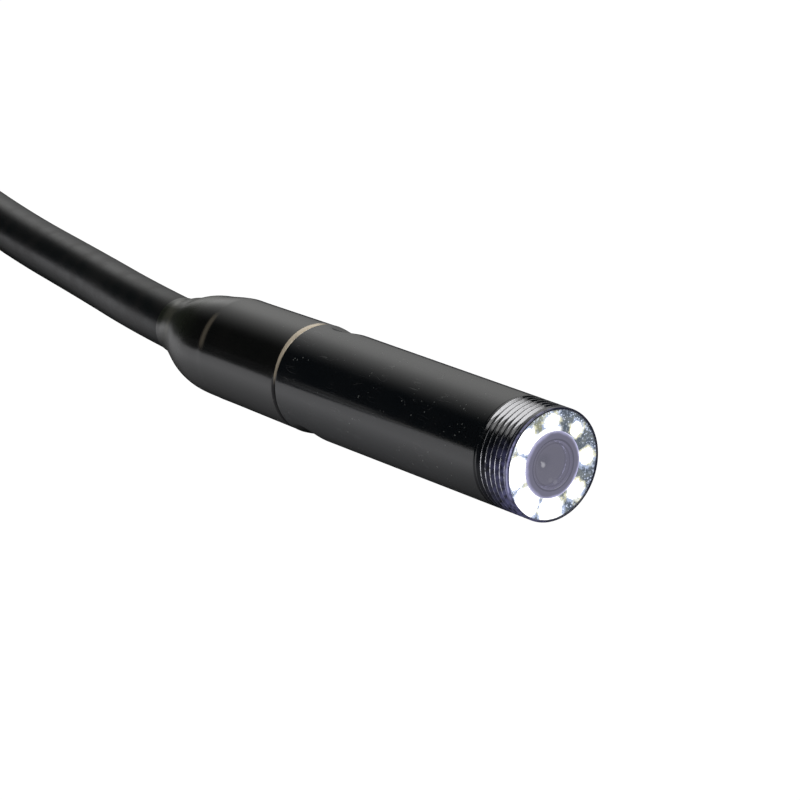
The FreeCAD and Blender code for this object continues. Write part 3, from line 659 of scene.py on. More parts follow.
@dataclass(frozen=True)
class BoardFinish(Finish):
    """A circuit board: lacquered, with copper tracks and dots of solder."""

    track: Colour = (0.08, 0.3, 0.14)

    def dress(self, s: Shading) -> None:
        """Adds the tracks and the solder."""
        point = s.place()
        bricks = {"Vector": point, "Scale": 1.0, "Mortar Size": 0.06, "Brick Width": 1.3, "Row Height": 0.5}
        tracks = Field(s, s.node("ShaderNodeTexBrick", inputs=bricks).outputs[1])
        solder = s.specks(point, 1.3, 0.5, 0.2)
        colour = s.mix(tracks, self.tone, self.track)
        s.set(
            Base_Color=s.mix(solder, colour, (0.6, 0.6, 0.58)),
            Metallic=solder * 0.9,
            Roughness=s.between(solder, *self.gloss),
            Normal=s.relief(tracks + solder * 2.0, self.relief),
        )


@dataclass(frozen=True)
class WeaveFinish(Finish):
    """Woven tape with a fluffy loop pile."""

    def dress(self, s: Shading) -> None:
        """Adds the crossing threads and the fluff."""
        point = s.place()
        x, y, z = point.parts()
        warp = s.math("SINE", y * (TURN * 2.2))
        weft = s.math("SINE", (x + z) * (TURN * 1.8))
        weave = warp * weft * 0.5 + 0.5
        fluff = s.noise(point, 9.0, 5)
        s.set(
            Base_Color=s.mix(weave * 0.5 + fluff * 0.5, self.tone, self.second),
            Roughness=s.between(fluff, *self.gloss),
            Normal=s.relief(weave + fluff * 0.7, self.relief),
        )


class Look(Enum):
    """The finishes, each under its material's name."""

    barrel_black = BarrelFinish(
        "barrel_black", (0.003, 0.005, 0.007), (0.008, 0.009, 0.010), (0.10, 0.17), relief=0.0006
    )
    sleeve_rubber = SleeveFinish(
        "sleeve_rubber", (0.004, 0.005, 0.005), (0.009, 0.009, 0.008), (0.13, 0.2),
        grain=4.0, relief=0.001, dust=0.1,
    )
    cable_jacket = Finish(
        "cable_jacket", (0.006, 0.008, 0.009), (0.012, 0.012, 0.012), (0.32, 0.42),
        specular=0.2, grain=5.0, relief=0.0015, dust=0.06,
    )
    housing_steel = Finish("housing_steel", (0.5, 0.5, 0.5), (0.6, 0.6, 0.59), (0.25, 0.4), 1.0)
    window_resin = ResinFinish("window_resin", (0.085, 0.105, 0.135), (0.28, 0.29, 0.19), relief=0.03)
    lens_glass = Finish("lens_glass", (0.02, 0.02, 0.03), (0.03, 0.03, 0.05), (0.02, 0.05), relief=0.0002)
    filter_glass = Finish("filter_glass", (0.1, 0.28, 0.34), (0.14, 0.3, 0.4), (0.04, 0.08), relief=0.0002)
    lamp_white = GlowFinish("lamp_white", (1.0, 0.97, 0.86), (1.0, 1.0, 1.0), (0.3, 0.4), relief=0.002)
    holder_grey = LitFinish(
        "holder_grey", (0.06, 0.06, 0.075), (0.08, 0.08, 0.1), (0.3, 0.45), relief=0.002,
        rim=(0.33, 0.325, 0.5), middle=(0.135, 0.132, 0.185), inner=2.08,
    )
    cover_clear = LitFinish(
        "cover_clear", (0.03, 0.03, 0.04), (0.04, 0.04, 0.05), (0.03, 0.06), relief=0.0002, alpha=0.5,
        rim=(0.15, 0.145, 0.2), middle=(0.13, 0.128, 0.165), inner=1.2, outer=1.65, groove=1.5,
        glints=((0.25, -1.25, 0.25, 0.12),),
    )
    optics_black = LitFinish(
        "optics_black", (0.03, 0.03, 0.036), (0.04, 0.04, 0.05), (0.3, 0.42), relief=0.002,
        rim=(0.17, 0.165, 0.21), middle=(0.1, 0.1, 0.13), inner=0.2, outer=0.8,
        glints=((0.02, -0.26, 0.25, 1.0),),
    )
    board_white = BoardFinish("board_white", (0.75, 0.75, 0.72), (0.8, 0.8, 0.8), track=(0.66, 0.66, 0.6))
    board_green = BoardFinish("board_green", (0.02, 0.16, 0.07), (0.03, 0.2, 0.1), relief=0.02)
    chip_black = Finish("chip_black", (0.02, 0.02, 0.022), (0.03, 0.03, 0.03), (0.45, 0.6), grain=12.0)
    sensor_face = Finish("sensor_face", (0.1, 0.08, 0.16), (0.16, 0.1, 0.12), (0.12, 0.2), relief=0.001)
    ceramic_tan = Finish("ceramic_tan", (0.42, 0.3, 0.18), (0.5, 0.36, 0.24), (0.4, 0.5))
    crystal_can = Finish("crystal_can", (0.6, 0.6, 0.58), (0.7, 0.7, 0.68), (0.25, 0.35), 1.0)
    ribbon_amber = Finish("ribbon_amber", (0.5, 0.24, 0.04), (0.6, 0.3, 0.06), (0.25, 0.35))
    wire_cover = Finish("wire_cover", (0.5, 0.05, 0.04), (0.56, 0.07, 0.05), (0.35, 0.45))
    seal_rubber = Finish("seal_rubber", (0.03, 0.03, 0.03), (0.04, 0.04, 0.04), (0.5, 0.6))
    clamp_steel = Finish("clamp_steel", (0.55, 0.55, 0.54), (0.62, 0.62, 0.6), (0.25, 0.4), 1.0)
    adhesive_clear = Finish("adhesive_clear", (0.5, 0.42, 0.28), (0.55, 0.47, 0.3), (0.15, 0.3))
    tie_fabric = WeaveFinish(
        "tie_fabric", (0.012, 0.012, 0.013), (0.05, 0.05, 0.052), (0.75, 0.95), relief=0.12
    )
    plug_plastic = Finish(
        "plug_plastic", (0.018, 0.018, 0.02), (0.028, 0.028, 0.03), (0.38, 0.52),
        grain=7.0, relief=0.02, dust=0.05,
    )
    relief_rubber = Finish(
        "relief_rubber", (0.016, 0.016, 0.017), (0.025, 0.025, 0.026), (0.45, 0.6), dust=0.05
    )
    wheel_plastic = Finish("wheel_plastic", (0.05, 0.05, 0.054), (0.07, 0.07, 0.075), (0.35, 0.5))
    button_plastic = Finish(
        "button_plastic", (0.2, 0.2, 0.21), (0.26, 0.26, 0.27), (0.3, 0.42), relief=0.006
    )
    screw_steel = Finish("screw_steel", (0.35, 0.35, 0.36), (0.45, 0.45, 0.45), (0.22, 0.38), 1.0)
    connector_steel = Finish(
        "connector_steel", (0.62, 0.62, 0.62), (0.72, 0.71, 0.69), (0.16, 0.3), 1.0, grain=3.0, relief=0.001
    )
    tongue_white = Finish("tongue_white", (0.72, 0.72, 0.7), (0.78, 0.78, 0.76), (0.4, 0.5))
    contact_gold = Finish("contact_gold", (0.85, 0.6, 0.22), (0.9, 0.68, 0.3), (0.2, 0.3), 1.0)


@cache
def material_of(look: Look) -> bpy.types.Material:
    """The material of a finish, made once."""
    return look.value.material()


# What the CAD nodes that stay as they are look like.
CARRIED_OVER = {
    Look.board_white: ("lamp_board",),
    Look.board_green: ("sensor_board", "main_board", "plug_board"),
    Look.chip_black: ("lamp_resistors", "processor_chip", "memory_chip", "button_switch"),
    Look.lens_glass: ("front_lens", "rear_lens"),
    Look.optics_black: ("aperture_stop", "lens_spacer"),
    Look.filter_glass: ("infrared_filter",),
    Look.sensor_face: ("image_sensor",),
    Look.ribbon_amber: ("sensor_ribbon",),
    Look.crystal_can: ("clock_crystal", "dimmer_pin"),
    Look.ceramic_tan: ("board_capacitors",),
    Look.wire_cover: ("cable_wires", "plug_wires", "lamp_leads"),
    Look.housing_steel: ("rear_housing",),
    Look.seal_rubber: ("body_seal",),
    Look.clamp_steel: ("cable_clamp",),
    Look.adhesive_clear: ("adhesive_fill",),
    Look.cable_jacket: ("jacket_end",),
    Look.tongue_white: ("connector_tongue",),
    Look.contact_gold: ("connector_contacts",),
}


# Meshes.


@dataclass(frozen=True)
class Skin:
    """One closed surface, in millimetres.

    Attributes:
        points: Its points.
        faces: Its faces, as numbers of points.
    """

    points: Sequence[Vector]
    faces: Sequence[tuple[int, ...]]


def loft(rings: Sequence[Sequence[Vector]], looped: bool = False) -> Skin:
    """A surface through rings of as many points each.

    Args:
        rings: The rings, one after the other.
        looped: The last ring joins the first; otherwise a flat face closes each end.

    Returns:
        The surface.
    """
    count = len(rings[0])
    total = len(rings) * count
    faces = []
    for start in range(0, total if looped else total - count, count):
        after = (start + count) % total
        for k in range(count):
            step = (k + 1) % count
            faces.append((start + k, start + step, after + step, after + k))
    if not looped:
        faces += [tuple(range(count)), tuple(range(total - count, total))]
    return Skin([point for ring in rings for point in ring], faces)


def put(name: str, data: bpy.types.ID) -> bpy.types.Object:
    """Puts an object of that data in the scene."""
    made = bpy.data.objects.new(name, data)
    bpy.context.scene.collection.objects.link(made)
    return made


def build(name: str, *skins: Skin, crease: float = 35.0) -> bpy.types.Object:
    """Makes one object of one or more surfaces.

    Args:
        name: The object's name.
        skins: The surfaces.
        crease: The least angle, in degrees, at which an edge stays sharp.

    Returns:
        The object, not yet on a body.
    """
    points, faces = [], []
    for part in skins:
        faces += [tuple(k + len(points) for k in face) for face in part.faces]
        points += [tuple(point * MM) for point in part.points]
    mesh = bpy.data.meshes.new(name)
    mesh.from_pydata(points, [], faces)
    shape = bmesh.new()
    shape.from_mesh(mesh)
    bmesh.ops.recalc_face_normals(shape, faces=shape.faces)
    shape.to_mesh(mesh)
    shape.free()
    mesh.shade_smooth()
    mesh.set_sharp_from_angle(angle=math.radians(crease))
    return put(name, mesh)


def carve(piece: bpy.types.Object, *tools: Skin) -> bpy.types.Object:
    """Takes other surfaces' insides out of an object.

    Args:
        piece: The object.
        tools: What is taken out.

    Returns:
        The same object.
    """
    for number, tool in enumerate(tools):
        cutter = build(f"{piece.name}_tool_{number}", tool)
        modifier = piece.modifiers.new(cutter.name, "BOOLEAN")
        modifier.operation = "DIFFERENCE"
        modifier.solver = "EXACT"
        modifier.object = cutter
        seen = piece.evaluated_get(bpy.context.evaluated_depsgraph_get())
        carved = bpy.data.meshes.new_from_object(seen)
        piece.modifiers.clear()
        piece.data = carved
        bpy.data.objects.remove(cutter)
    piece.data.set_sharp_from_angle(angle=math.radians(30))
    return piece


def fit(
    piece: bpy.types.Object, look: Look, *stands_for: str, body: str = CAMERA_BODY
) -> bpy.types.Object:
    """Gives a new piece its finish, its body and the CAD nodes that it stands for.

    Args:
        piece: The new piece.
        look: Its finish.
        stands_for: The CAD nodes.
        body: The CAD body that it moves with.

    Returns:
        The same piece.
    """
    piece.data.materials.clear()
    piece.data.materials.append(material_of(look))
    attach(piece, body)
    if stands_for:
        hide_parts(*stands_for)
    log.info("%s stands for %s on %s", piece.name, ", ".join(stands_for), body)
    return piece


Radius = float | Callable[[float], float]


@dataclass(frozen=True)
class Spindle:
    """The line that a turned piece is made round, in millimetres.

    Attributes:
        start: Where distances along it start.
        along: Its direction.
        up: Where angles round it start.
    """

    start: Vector
    along: Vector
    up: Vector

    def ring(self, distance: float, radius: Radius, count: int) -> list[Vector]:
        """A ring of points round the line.

        Args:
            distance: How far along.
            radius: The radius, or a function that gives it at an angle.
            count: How many points.

        Returns:
            The points.
        """
        side = self.along.cross(self.up)
        points = []
        for k in range(count):
            angle = TURN * k / count
            reach = radius(angle) if callable(radius) else radius
            outward = self.up * math.cos(angle) + side * math.sin(angle)
            points.append(self.start + self.along * distance + outward * reach)
        return points

    def turned(self, profile: Sequence[tuple[float, Radius]], count: int = 96, looped: bool = True) -> Skin:
        """A surface turned round the line from a profile of distances and radii."""
        return loft([self.ring(distance, radius, count) for distance, radius in profile], looped)


HEAD = Spindle(Vector((NOSE, 0.0, AXIS_HEIGHT)), Vector((-1, 0, 0)), Vector((0, 0, 1)))


def rounded(
    centre: tuple[float, float], radius: float, first: float, last: float, steps: int = 6
) -> list[tuple[float, float]]:
    """Points of an arc in a profile, from one angle to another in degrees."""
    angles = [math.radians(first + (last - first) * k / steps) for k in range(steps + 1)]
    return [(centre[0] + radius * math.cos(a), centre[1] + radius * math.sin(a)) for a in angles]


def flowing(stations: Sequence[tuple[float, float]], steps: int = 6) -> list[tuple[float, float]]:
    """A smooth profile through stations, as a loftsman's spline runs through its weights.

    Args:
        stations: Pairs of distance and radius.
        steps: How many points there are from one station to the next.

    Returns:
        The profile.
    """
    ends = [stations[0], *stations, stations[-1]]
    profile = []
    for a, b, c, d in zip(ends, ends[1:], ends[2:], ends[3:]):
        for k in range(steps):
            t = k / steps
            profile.append(tuple(weighted(t, *values) for values in zip(a, b, c, d)))
    return [*profile, stations[-1]]


def weighted(t: float, p: float, q: float, r: float, s: float) -> float:
    """The value a share t of the way from q to r on a smooth line through p, q, r and s."""
    square, cube = 2 * p - 5 * q + 4 * r - s, 3 * q - p - 3 * r + s
    return 0.5 * (2 * q + (r - p) * t + square * t**2 + cube * t**3)


def rectangle(width: float, height: float, corner: float, inset: float = 0.0) -> list[tuple[float, float]]:
    """The outline of a rectangle with round corners, about its middle.

    Args:
        width: Its first side.
        height: Its second side.
        corner: The radius of its corners.
        inset: How far inside that outline the points run.

    Returns:
        Pairs of places along the two sides.
    """
    radius = max(corner - inset, 0.05)
    across, up = width / 2 - inset - radius, height / 2 - inset - radius
    points = []
    for quarter, (x, y) in enumerate(((across, up), (-across, up), (-across, -up), (across, -up))):
        points += rounded((x, y), radius, 90 * quarter, 90 * quarter + 90, 8)
    return points


def upright(x: float, y: float, z: float = 0.0) -> Spindle:
    """An upright line through a place, for what is turned round it."""
    return Spindle(Vector((x, y, z)), Vector((0, 0, 1)), Vector((1, 0, 0)))


def block(low: Sequence[float], high: Sequence[float]) -> Skin:
    """A plain box between two corners, for taking out of a piece."""
    outline = [(low[0], low[1]), (high[0], low[1]), (high[0], high[1]), (low[0], high[1])]
    return loft([[Vector((x, y, z)) for x, y in outline] for z in (low[2], high[2])])


# The scene round the object.


@dataclass(frozen=True)
class Viewpoint:
    """Where the camera stands and what it looks at.

    Attributes:
        azimuth: The compass angle in degrees; 0 looks along +Y and 90 along -X.
        elevation: The angle above the floor in degrees.
        distance: How far from the aim it is, in metres.
        aim: The point that it looks at, in metres.
        focal_length: The lens in millimetres.
    """

    azimuth: float = 52.13
    elevation: float = 16.62
    distance: float = 0.25
    aim: tuple[float, float, float] = (0.02873, -0.01812, 0.01343)
    focal_length: float = 180.0

    def set_up(self) -> None:
        """Makes the camera and gives it to the scene."""
        azimuth, elevation = math.radians(self.azimuth), math.radians(self.elevation)
        level = math.cos(elevation)
        outward = Vector((math.sin(azimuth) * level, -math.cos(azimuth) * level, math.sin(elevation)))
        camera = put("view", bpy.data.cameras.new("view"))
        camera.data.lens = self.focal_length
        camera.data.sensor_width = 36.0
        camera.data.clip_start = 0.01
        camera.location = Vector(self.aim) + outward * self.distance
        camera.rotation_euler = (-outward).to_track_quat("-Z", "Y").to_euler()
        bpy.context.scene.camera = camera
        bpy.context.scene.view_settings.view_transform = "Standard"


@dataclass(frozen=True)
class Studio:
    """A pale floor, a pale room that is dark on the near side, and one long soft light above the nose.

    Attributes:
        floor_side: The floor's length and width, in metres.
        floor_tone: What the floor returns where it isn't lit from within.
        near_floor: The floor's own light on the near side of the head.
        room_light: How bright the room is, high on the near side and above.
        far_light: How bright it is low on the far side.
        near_light: How bright it is low on the near side.
        seen_room: How bright the room itself looks.
        seen_floor: How bright the floor's paper looks.
        paper: How much of the floor is that paper; the rest takes the shadow.
        lamp_place: Where the soft light is, in metres; it points at the origin.
        lamp_along: The direction of its long side.
        lamp_size: Its short and long side, in metres.
        lamp_power: Its power, in watts.
    """

    floor_side: float = 3.0
    floor_tone: Colour = (0.3, 0.3, 0.3)
    near_floor: Colour = (0.95, 0.95, 0.98)
    room_light: float = 1.15
    far_light: float = 0.3
    near_light: float = 0.01
    seen_room: float = 1.05
    seen_floor: float = 1.12
    paper: float = 0.93
    lamp_place: tuple[float, float, float] = (0.4, 0.07, 0.41)
    lamp_along: tuple[float, float, float] = (-0.34, 0.9, 0.26)
    lamp_size: tuple[float, float] = (0.24, 0.62)
    lamp_power: float = 1.9

    def set_up(self) -> None:
        """Makes the floor, the room and the light."""
        self.lay_floor()
        self.paint_room()
        light = bpy.data.lights.new("soft_light", "AREA")
        light.shape = "RECTANGLE"
        light.size, light.size_y = self.lamp_size
        light.energy = self.lamp_power
        lamp = put("soft_light", light)
        lamp.location = self.lamp_place
        facing = Vector(self.lamp_place).normalized()
        across = Vector(self.lamp_along).cross(facing).normalized()
        lamp.rotation_euler = Matrix((across, facing.cross(across), facing)).transposed().to_euler()

    def lay_floor(self) -> None:
        """Makes the floor, which the camera sees white with a faint shadow."""
        half = self.floor_side / 2
        square = ((-half, -half, 0), (half, -half, 0), (half, half, 0), (-half, half, 0))
        mesh = bpy.data.meshes.new("floor")
        mesh.from_pydata(square, [], [(0, 1, 2, 3)])
        floor = put("floor", mesh)
        shading = Shading("floor_paper")
        point = shading.place()
        x, y, _ = point.parts()
        # How far a place is beyond the head, whose cable bends away behind x = -22; the floor is dark
        # from there on and past the nose, and gives light on the near side.
        beyond = y + shading.math("MINIMUM", x + 22.0, 0.0) * 0.25
        far = shading.math("MAXIMUM", shading.smooth(x, 8.0, 40.0), shading.smooth(beyond, 3.0, 12.0))
        tone = shading.mix(shading.noise(point, 0.2) * 0.04, self.floor_tone, (0.7, 0.7, 0.7))
        tone = shading.mix(far * 0.85, tone, (0.05, 0.05, 0.06))
        near = shading.smooth(beyond, -0.5, -12.0) * (1.0 - far)
        bright = shading.mix(near, DARK, self.near_floor)
        shading.set(Base_Color=tone, Roughness=0.9, Specular_IOR_Level=0.1)
        shading.set(Emission_Color=bright, Emission_Strength=1.0)
        light = {"Color": (1.0, 1.0, 1.0), "Strength": self.seen_floor}
        white = shading.node("ShaderNodeEmission", inputs=light).outputs[0]
        seen = Field(shading, shading.node("ShaderNodeLightPath").outputs["Is Camera Ray"])
        layers = {0: seen * self.paper, 1: shading.surface.outputs[0], 2: white}
        both = shading.node("ShaderNodeMixShader", inputs=layers)
        shading.node("ShaderNodeOutputMaterial", inputs={"Surface": both.outputs[0]}).is_active_output = True
        mesh.materials.append(shading.material)

    def paint_room(self) -> None:
        """Makes the room's light, by direction: dark low on the near side, pale above and beyond."""
        world = bpy.data.worlds.new("room")
        world.use_nodes = True
        bpy.context.scene.world = world
        room = Wiring(world.node_tree)
        x, y, z = Triple(room, room.node("ShaderNodeTexCoord").outputs["Generated"]).parts()
        # The height is an angle in degrees, from the near side of the floor over the top to the far
        # side; it is moved where the direction runs back along the cable.
        along = room.math("MAXIMUM", x * -1.0 - 0.76, 0.0) * 2.1
        height = room.math("ARCTAN2", z, along - y) * (180 / math.pi)
        above = room.between(room.smooth(height, 110.0, 185.0), self.room_light, self.far_light)
        raised = room.smooth(height, 50.0, 125.0) * room.smooth(x, 0.15, -0.3)
        light = room.between(raised, self.near_light, above)
        seen = Field(room, room.node("ShaderNodeLightPath").outputs["Is Camera Ray"])
        strength = room.between(seen, light, self.seen_room)
        paint = {"Color": (1.0, 1.0, 0.985), "Strength": strength}
        background = room.node("ShaderNodeBackground", inputs=paint)
        room.node("ShaderNodeOutputWorld", inputs={"Surface": background.outputs[0]})


# The object.


@dataclass(frozen=True)
class CableRun:
    """The cable: straight out of the sleeve, down to the surface, wound up beyond, and on to the plug.

    Attributes:
        diameter: Of the jacket, in millimetres.
        lead: The route's points from the sleeve to the coil.
        tail: The route's points from the coil to the plug.
        centre: The coil's middle.
        columns: The radii of the coil's columns of turns, from the outside in.
        layers: The heights of its two layers.
        first: The angle where the winding starts, in degrees.
        turns: How many turns it has.
        spans: How many points each turn has.
        steps_in: After how many turns it steps in by a column, in the lower layer.
        climb: From and to how many turns it climbs to the upper layer.
        steps_out: After how many turns it steps out by a column, in the upper layer.
        shift: Half of the turn that a step by a column takes.
        length: Of the whole cable outside the sleeve, in metres.
    """

    diameter: float = 4.2
    lead: tuple[tuple[float, float, float], ...] = (
        (-28.2, 1.15, 4.0),
        (-40.8, 5.05, 3.05),
        (-59.8, 9.8, 2.15),
        (-79.4, 14.9, 2.15),
        (-91.2, 17.4, 2.45),
    )
    tail: tuple[tuple[float, float, float], ...] = (
        (-103.3, -35.2, 6.8),
        (-95.8, -35.2, 6.5),
        (-88.6, -35.2, 5.15),
        (-81.3, -35.2, 4.8),
        (-75.4, -35.2, 4.82),
    )
    centre: tuple[float, float] = (-103.3, -8.0)
    columns: tuple[float, float, float] = (27.2, 23.0, 18.8)
    layers: tuple[float, float] = (2.6, 6.8)
    first: float = 80.0
    turns: float = 5.528
    spans: int = 20
    steps_in: tuple[float, float] = (0.92, 1.92)
    climb: tuple[float, float] = (2.7, 2.9)
    steps_out: tuple[float, float] = (3.62, 4.62)
    shift: float = 0.08
    length: float = 0.905

    def winding(self) -> list[Vector]:
        """The points of the coil's turns, up to where the cable leaves it."""
        step = self.columns[0] - self.columns[1]
        outside = 1 / math.cos(math.pi / self.spans)
        points = []
        for k in range(int(self.turns * self.spans)):
            wound = k / self.spans
            inward = sum(ease(wound, at - self.shift, at + self.shift) for at in self.steps_in)
            outward = sum(ease(wound, at - self.shift, at + self.shift) for at in self.steps_out)
            radius = (self.columns[0] - step * (inward - outward)) * outside
            height = self.layers[0] + (self.layers[1] - self.layers[0]) * ease(wound, *self.climb)
            angle = math.radians(self.first) + TURN * wound
            x, y = self.centre
            points.append(Vector((x + radius * math.cos(angle), y + radius * math.sin(angle), height)))
        return points

    def make(self) -> bpy.types.Object:
        """Makes the cable as one smooth spline."""
        route = [self.leaves_sleeve(), *map(Vector, self.lead), *self.winding(), *map(Vector, self.tail)]
        curve = bpy.data.curves.new("camera_cable", "CURVE")
        curve.dimensions = "3D"
        curve.bevel_depth = self.diameter / 2 * MM
        curve.bevel_resolution = 8
        curve.use_fill_caps = True
        spline = curve.splines.new("NURBS")
        spline.points.add(len(route) - 1)
        for knot, point in zip(spline.points, route):
            knot.co = (*(point * MM), 1.0)
        spline.order_u = 3
        spline.use_endpoint_u = True
        spline.resolution_u = 10
        cable = put("camera_cable", curve)
        return fit(cable, Look.cable_jacket, "cable_lead", "cable_coil", "cable_tail")

    def leaves_sleeve(self) -> Vector:
        """Where the cable leaves the sleeve's tail."""
        return SLEEVE_BEND.at(SLEEVE_BEND.length).start

    def declare(self) -> None:
        """Works out where the cable leaves the sleeve and reads its length, and keeps neither.
        """
        self.leaves_sleeve() * MM
        self.length


def ease(value: float, low: float, high: float) -> float:
    """0 below low, 1 above high, and smooth between."""
    t = min(max((value - low) / (high - low), 0.0), 1.0)
    return t * t * (3 - 2 * t)


@dataclass(frozen=True)
class Bend:
    """The bend of the head's axis inside the sleeve's tail.

    Attributes:
        start: How far back from the nose it starts.
        radius: Of the axis, in millimetres.
        angle: How far it turns, in degrees.
    """

    start: float = 39.5
    radius: float = 34.0
    angle: float = 7.6

    @property
    def length(self) -> float:
        """How far back from the nose the bend ends, along the axis."""
        return self.start + math.radians(self.angle) * self.radius

    def at(self, back: float) -> Spindle:
        """The head's axis, straight at first and bent in the tail.

        Args:
            back: The distance back from the nose, along the axis.

        Returns:
            The line from that place on.
        """
        if back <= self.start:
            return Spindle(HEAD.start + HEAD.along * back, HEAD.along, HEAD.up)
        turn = Matrix.Rotation((self.start - back) / self.radius, 3, "Z")
        begins = HEAD.start + HEAD.along * self.start
        centre = begins + Vector((0, self.radius, 0))
        return Spindle(centre + turn @ (begins - centre), turn @ HEAD.along, HEAD.up)


SLEEVE_BEND = Bend()


@dataclass(frozen=True)
class Barrel:
    """The front barrel: a rounded lip, the accessory thread, a plain grip and two opposite dimples.

    Attributes:
        radius: Of the plain barrel.
        mouth: The radius of the mouth that the lamp window sits in.
        lip: How round the lip's outer edge is.
        pitch: Of the thread.
        depth: Of the thread.
        first_crest: How far back the thread's first crest is.
        thread: Where the thread starts and ends.
        dimples: How far back the dimples are.
        dimple_depth: How deep they are.
        dimple_curve: The radius of their curve along the barrel.
        dimple_angle: How far round from the top the first one is, in degrees.
        dimple_reach: How far from their middle the barrel is plain again.
        dimple_edge: How round their edges are.
        thread_step: How far apart the thread's rings of points are.
        dimple_step: How far apart the dimples' rings of points are.
    """

    radius: float = 4.0
    mouth: float = 3.82
    lip: float = 0.12
    pitch: float = 0.5
    depth: float = 0.27
    first_crest: float = 0.49
    thread: tuple[float, float] = (0.38, 3.66)
    dimples: float = 24.5
    dimple_depth: float = 0.36
    dimple_curve: float = 3.6
    dimple_angle: float = 26.0
    dimple_reach: float = 1.7
    dimple_edge: float = 0.02
    thread_step: float = 0.025
    dimple_step: float = 0.05

    def threaded(self, back: float) -> Callable[[float], float]:
        """The thread's radius.

        Args:
            back: The distance back from the nose.

        Returns:
            The radius there, as a function of the angle.
        """
        start, end = self.thread
        fade = ease(back, start - 0.06, start + 0.1) * (1 - ease(back, end - 0.3, end))

        def radius(angle: float) -> float:
            """The radius at an angle."""
            place = (back - self.first_crest) / self.pitch - angle / TURN
            from_crest = 2 * abs(place - round(place))
            groove = min(max((from_crest - 0.12) / 0.74, 0.0), 1.0)
            return self.radius - self.depth * fade * groove

        return radius

    def pressed(self, back: float) -> Radius:
        """The barrel's radius near the dimples.

        Args:
            back: The distance back from the nose.

        Returns:
            The radius there, as a function of the angle where it is pressed in.
        """
        across = back - self.dimples
        if abs(across) > self.dimple_reach:
            return self.radius
        floor = self.radius - self.dimple_depth + self.dimple_curve
        floor -= math.sqrt(self.dimple_curve**2 - across**2)

        def radius(angle: float) -> float:
            """The radius at an angle: the barrel's or the dimple's floor, whichever is less."""
            flat = floor / max(abs(math.cos(angle - math.radians(self.dimple_angle))), 0.5)
            edge = self.dimple_edge
            return -edge * math.log(math.exp(-self.radius / edge) + math.exp(-flat / edge))

        return radius

    def make(self) -> bpy.types.Object:
        """Makes the barrel."""
        start, end = self.thread
        lip = rounded((self.lip, self.radius - self.lip), self.lip, 180, 90)
        rings = round((end - start + 0.1) / self.thread_step) + 3
        thread = [(back := start - 0.06 + self.thread_step * k, self.threaded(back)) for k in range(rings)]
        grip = [(end + 0.3 + 0.8 * k, self.radius) for k in range(24)]
        first = self.dimples - 1.8
        grip += [(back := first + self.dimple_step * k, self.pressed(back)) for k in range(70)]
        inside = [(26.2, 3.97), (26.22, 3.9), (26.22, 3.12), (20.4, 3.12), (20.4, 3.4), (0.6, 3.4)]
        mouth = [(0.58, self.mouth), (0.04, self.mouth), (0.0, self.mouth + 0.03)]
        barrel = build("barrel_body", HEAD.turned(lip + thread + grip + inside + mouth, 192), crease=55)
        return fit(barrel, Look.barrel_black, "front_barrel")


@dataclass(frozen=True)
class LampRing:
    """The lamps round the lens and the resin that covers them.

    Attributes:
        count: How many lamps.
        circle: The radius of the circle they stand on.
        reach: A lamp's radius.
        sizes: Each lamp's share of that, from the top.
        seed: What the lamps' outlines are drawn from.
    """

    count: int = 8
    circle: float = 2.98
    reach: float = 0.52
    sizes: tuple[float, ...] = (0.95, 0.85, 0.8, 0.95, 1.1, 1.08, 1.08, 1.0)
    seed: int = 8

    def make(self) -> None:
        """Makes the resin and the lamps."""
        rng = random.Random(self.seed)
        front = [(0.14, 2.36), (0.17, 2.5), (0.185, 2.75), (0.185, 3.1), (0.16, 3.4), (0.1, 3.62)]
        resin = flowing([*front, (0.05, 3.78)], 4)
        resin += [(0.1, 3.8), (0.34, 3.8), (0.35, 3.39), (0.55, 3.36), (0.55, 2.36)]
        fit(build("window_resin", HEAD.turned(resin, 192)), Look.window_resin, "lamp_window")
        domes = [self.dome(k, rng) for k in range(self.count)]
        fit(build("lamp_domes", *domes), Look.lamp_white, "lamps")

    def dome(self, number: int, rng: random.Random) -> Skin:
        """One lamp: its case under the resin and its uneven cap just through it.

        Args:
            number: Which lamp, from the top.
            rng: Where its unevenness comes from.

        Returns:
            Its surface.
        """
        angle = TURN * number / self.count
        outward = HEAD.up * math.cos(angle) + Vector((0, 1, 0)) * math.sin(angle)
        line = Spindle(HEAD.start + outward * self.circle, HEAD.along, outward)
        waves = [(k, rng.uniform(0.02, 0.1), rng.uniform(0, TURN)) for k in (2, 3, 5)]

        def around(scale: float) -> Callable[[float], float]:
            """The outline at a share of the lamp's reach."""
            size = self.reach * self.sizes[number] * scale
            return lambda a: size * (1 + sum(depth * math.sin(k * a + lag) for k, depth, lag in waves))

        case = [(0.98, 0.8), (0.6, 0.95), (0.22, 1.0)]
        cap = [(0.13, 0.94), (0.06, 0.8), (0.03, 0.55), (0.02, 0.25)]
        return line.turned([(level, around(scale)) for level, scale in case + cap], 40, looped=False)


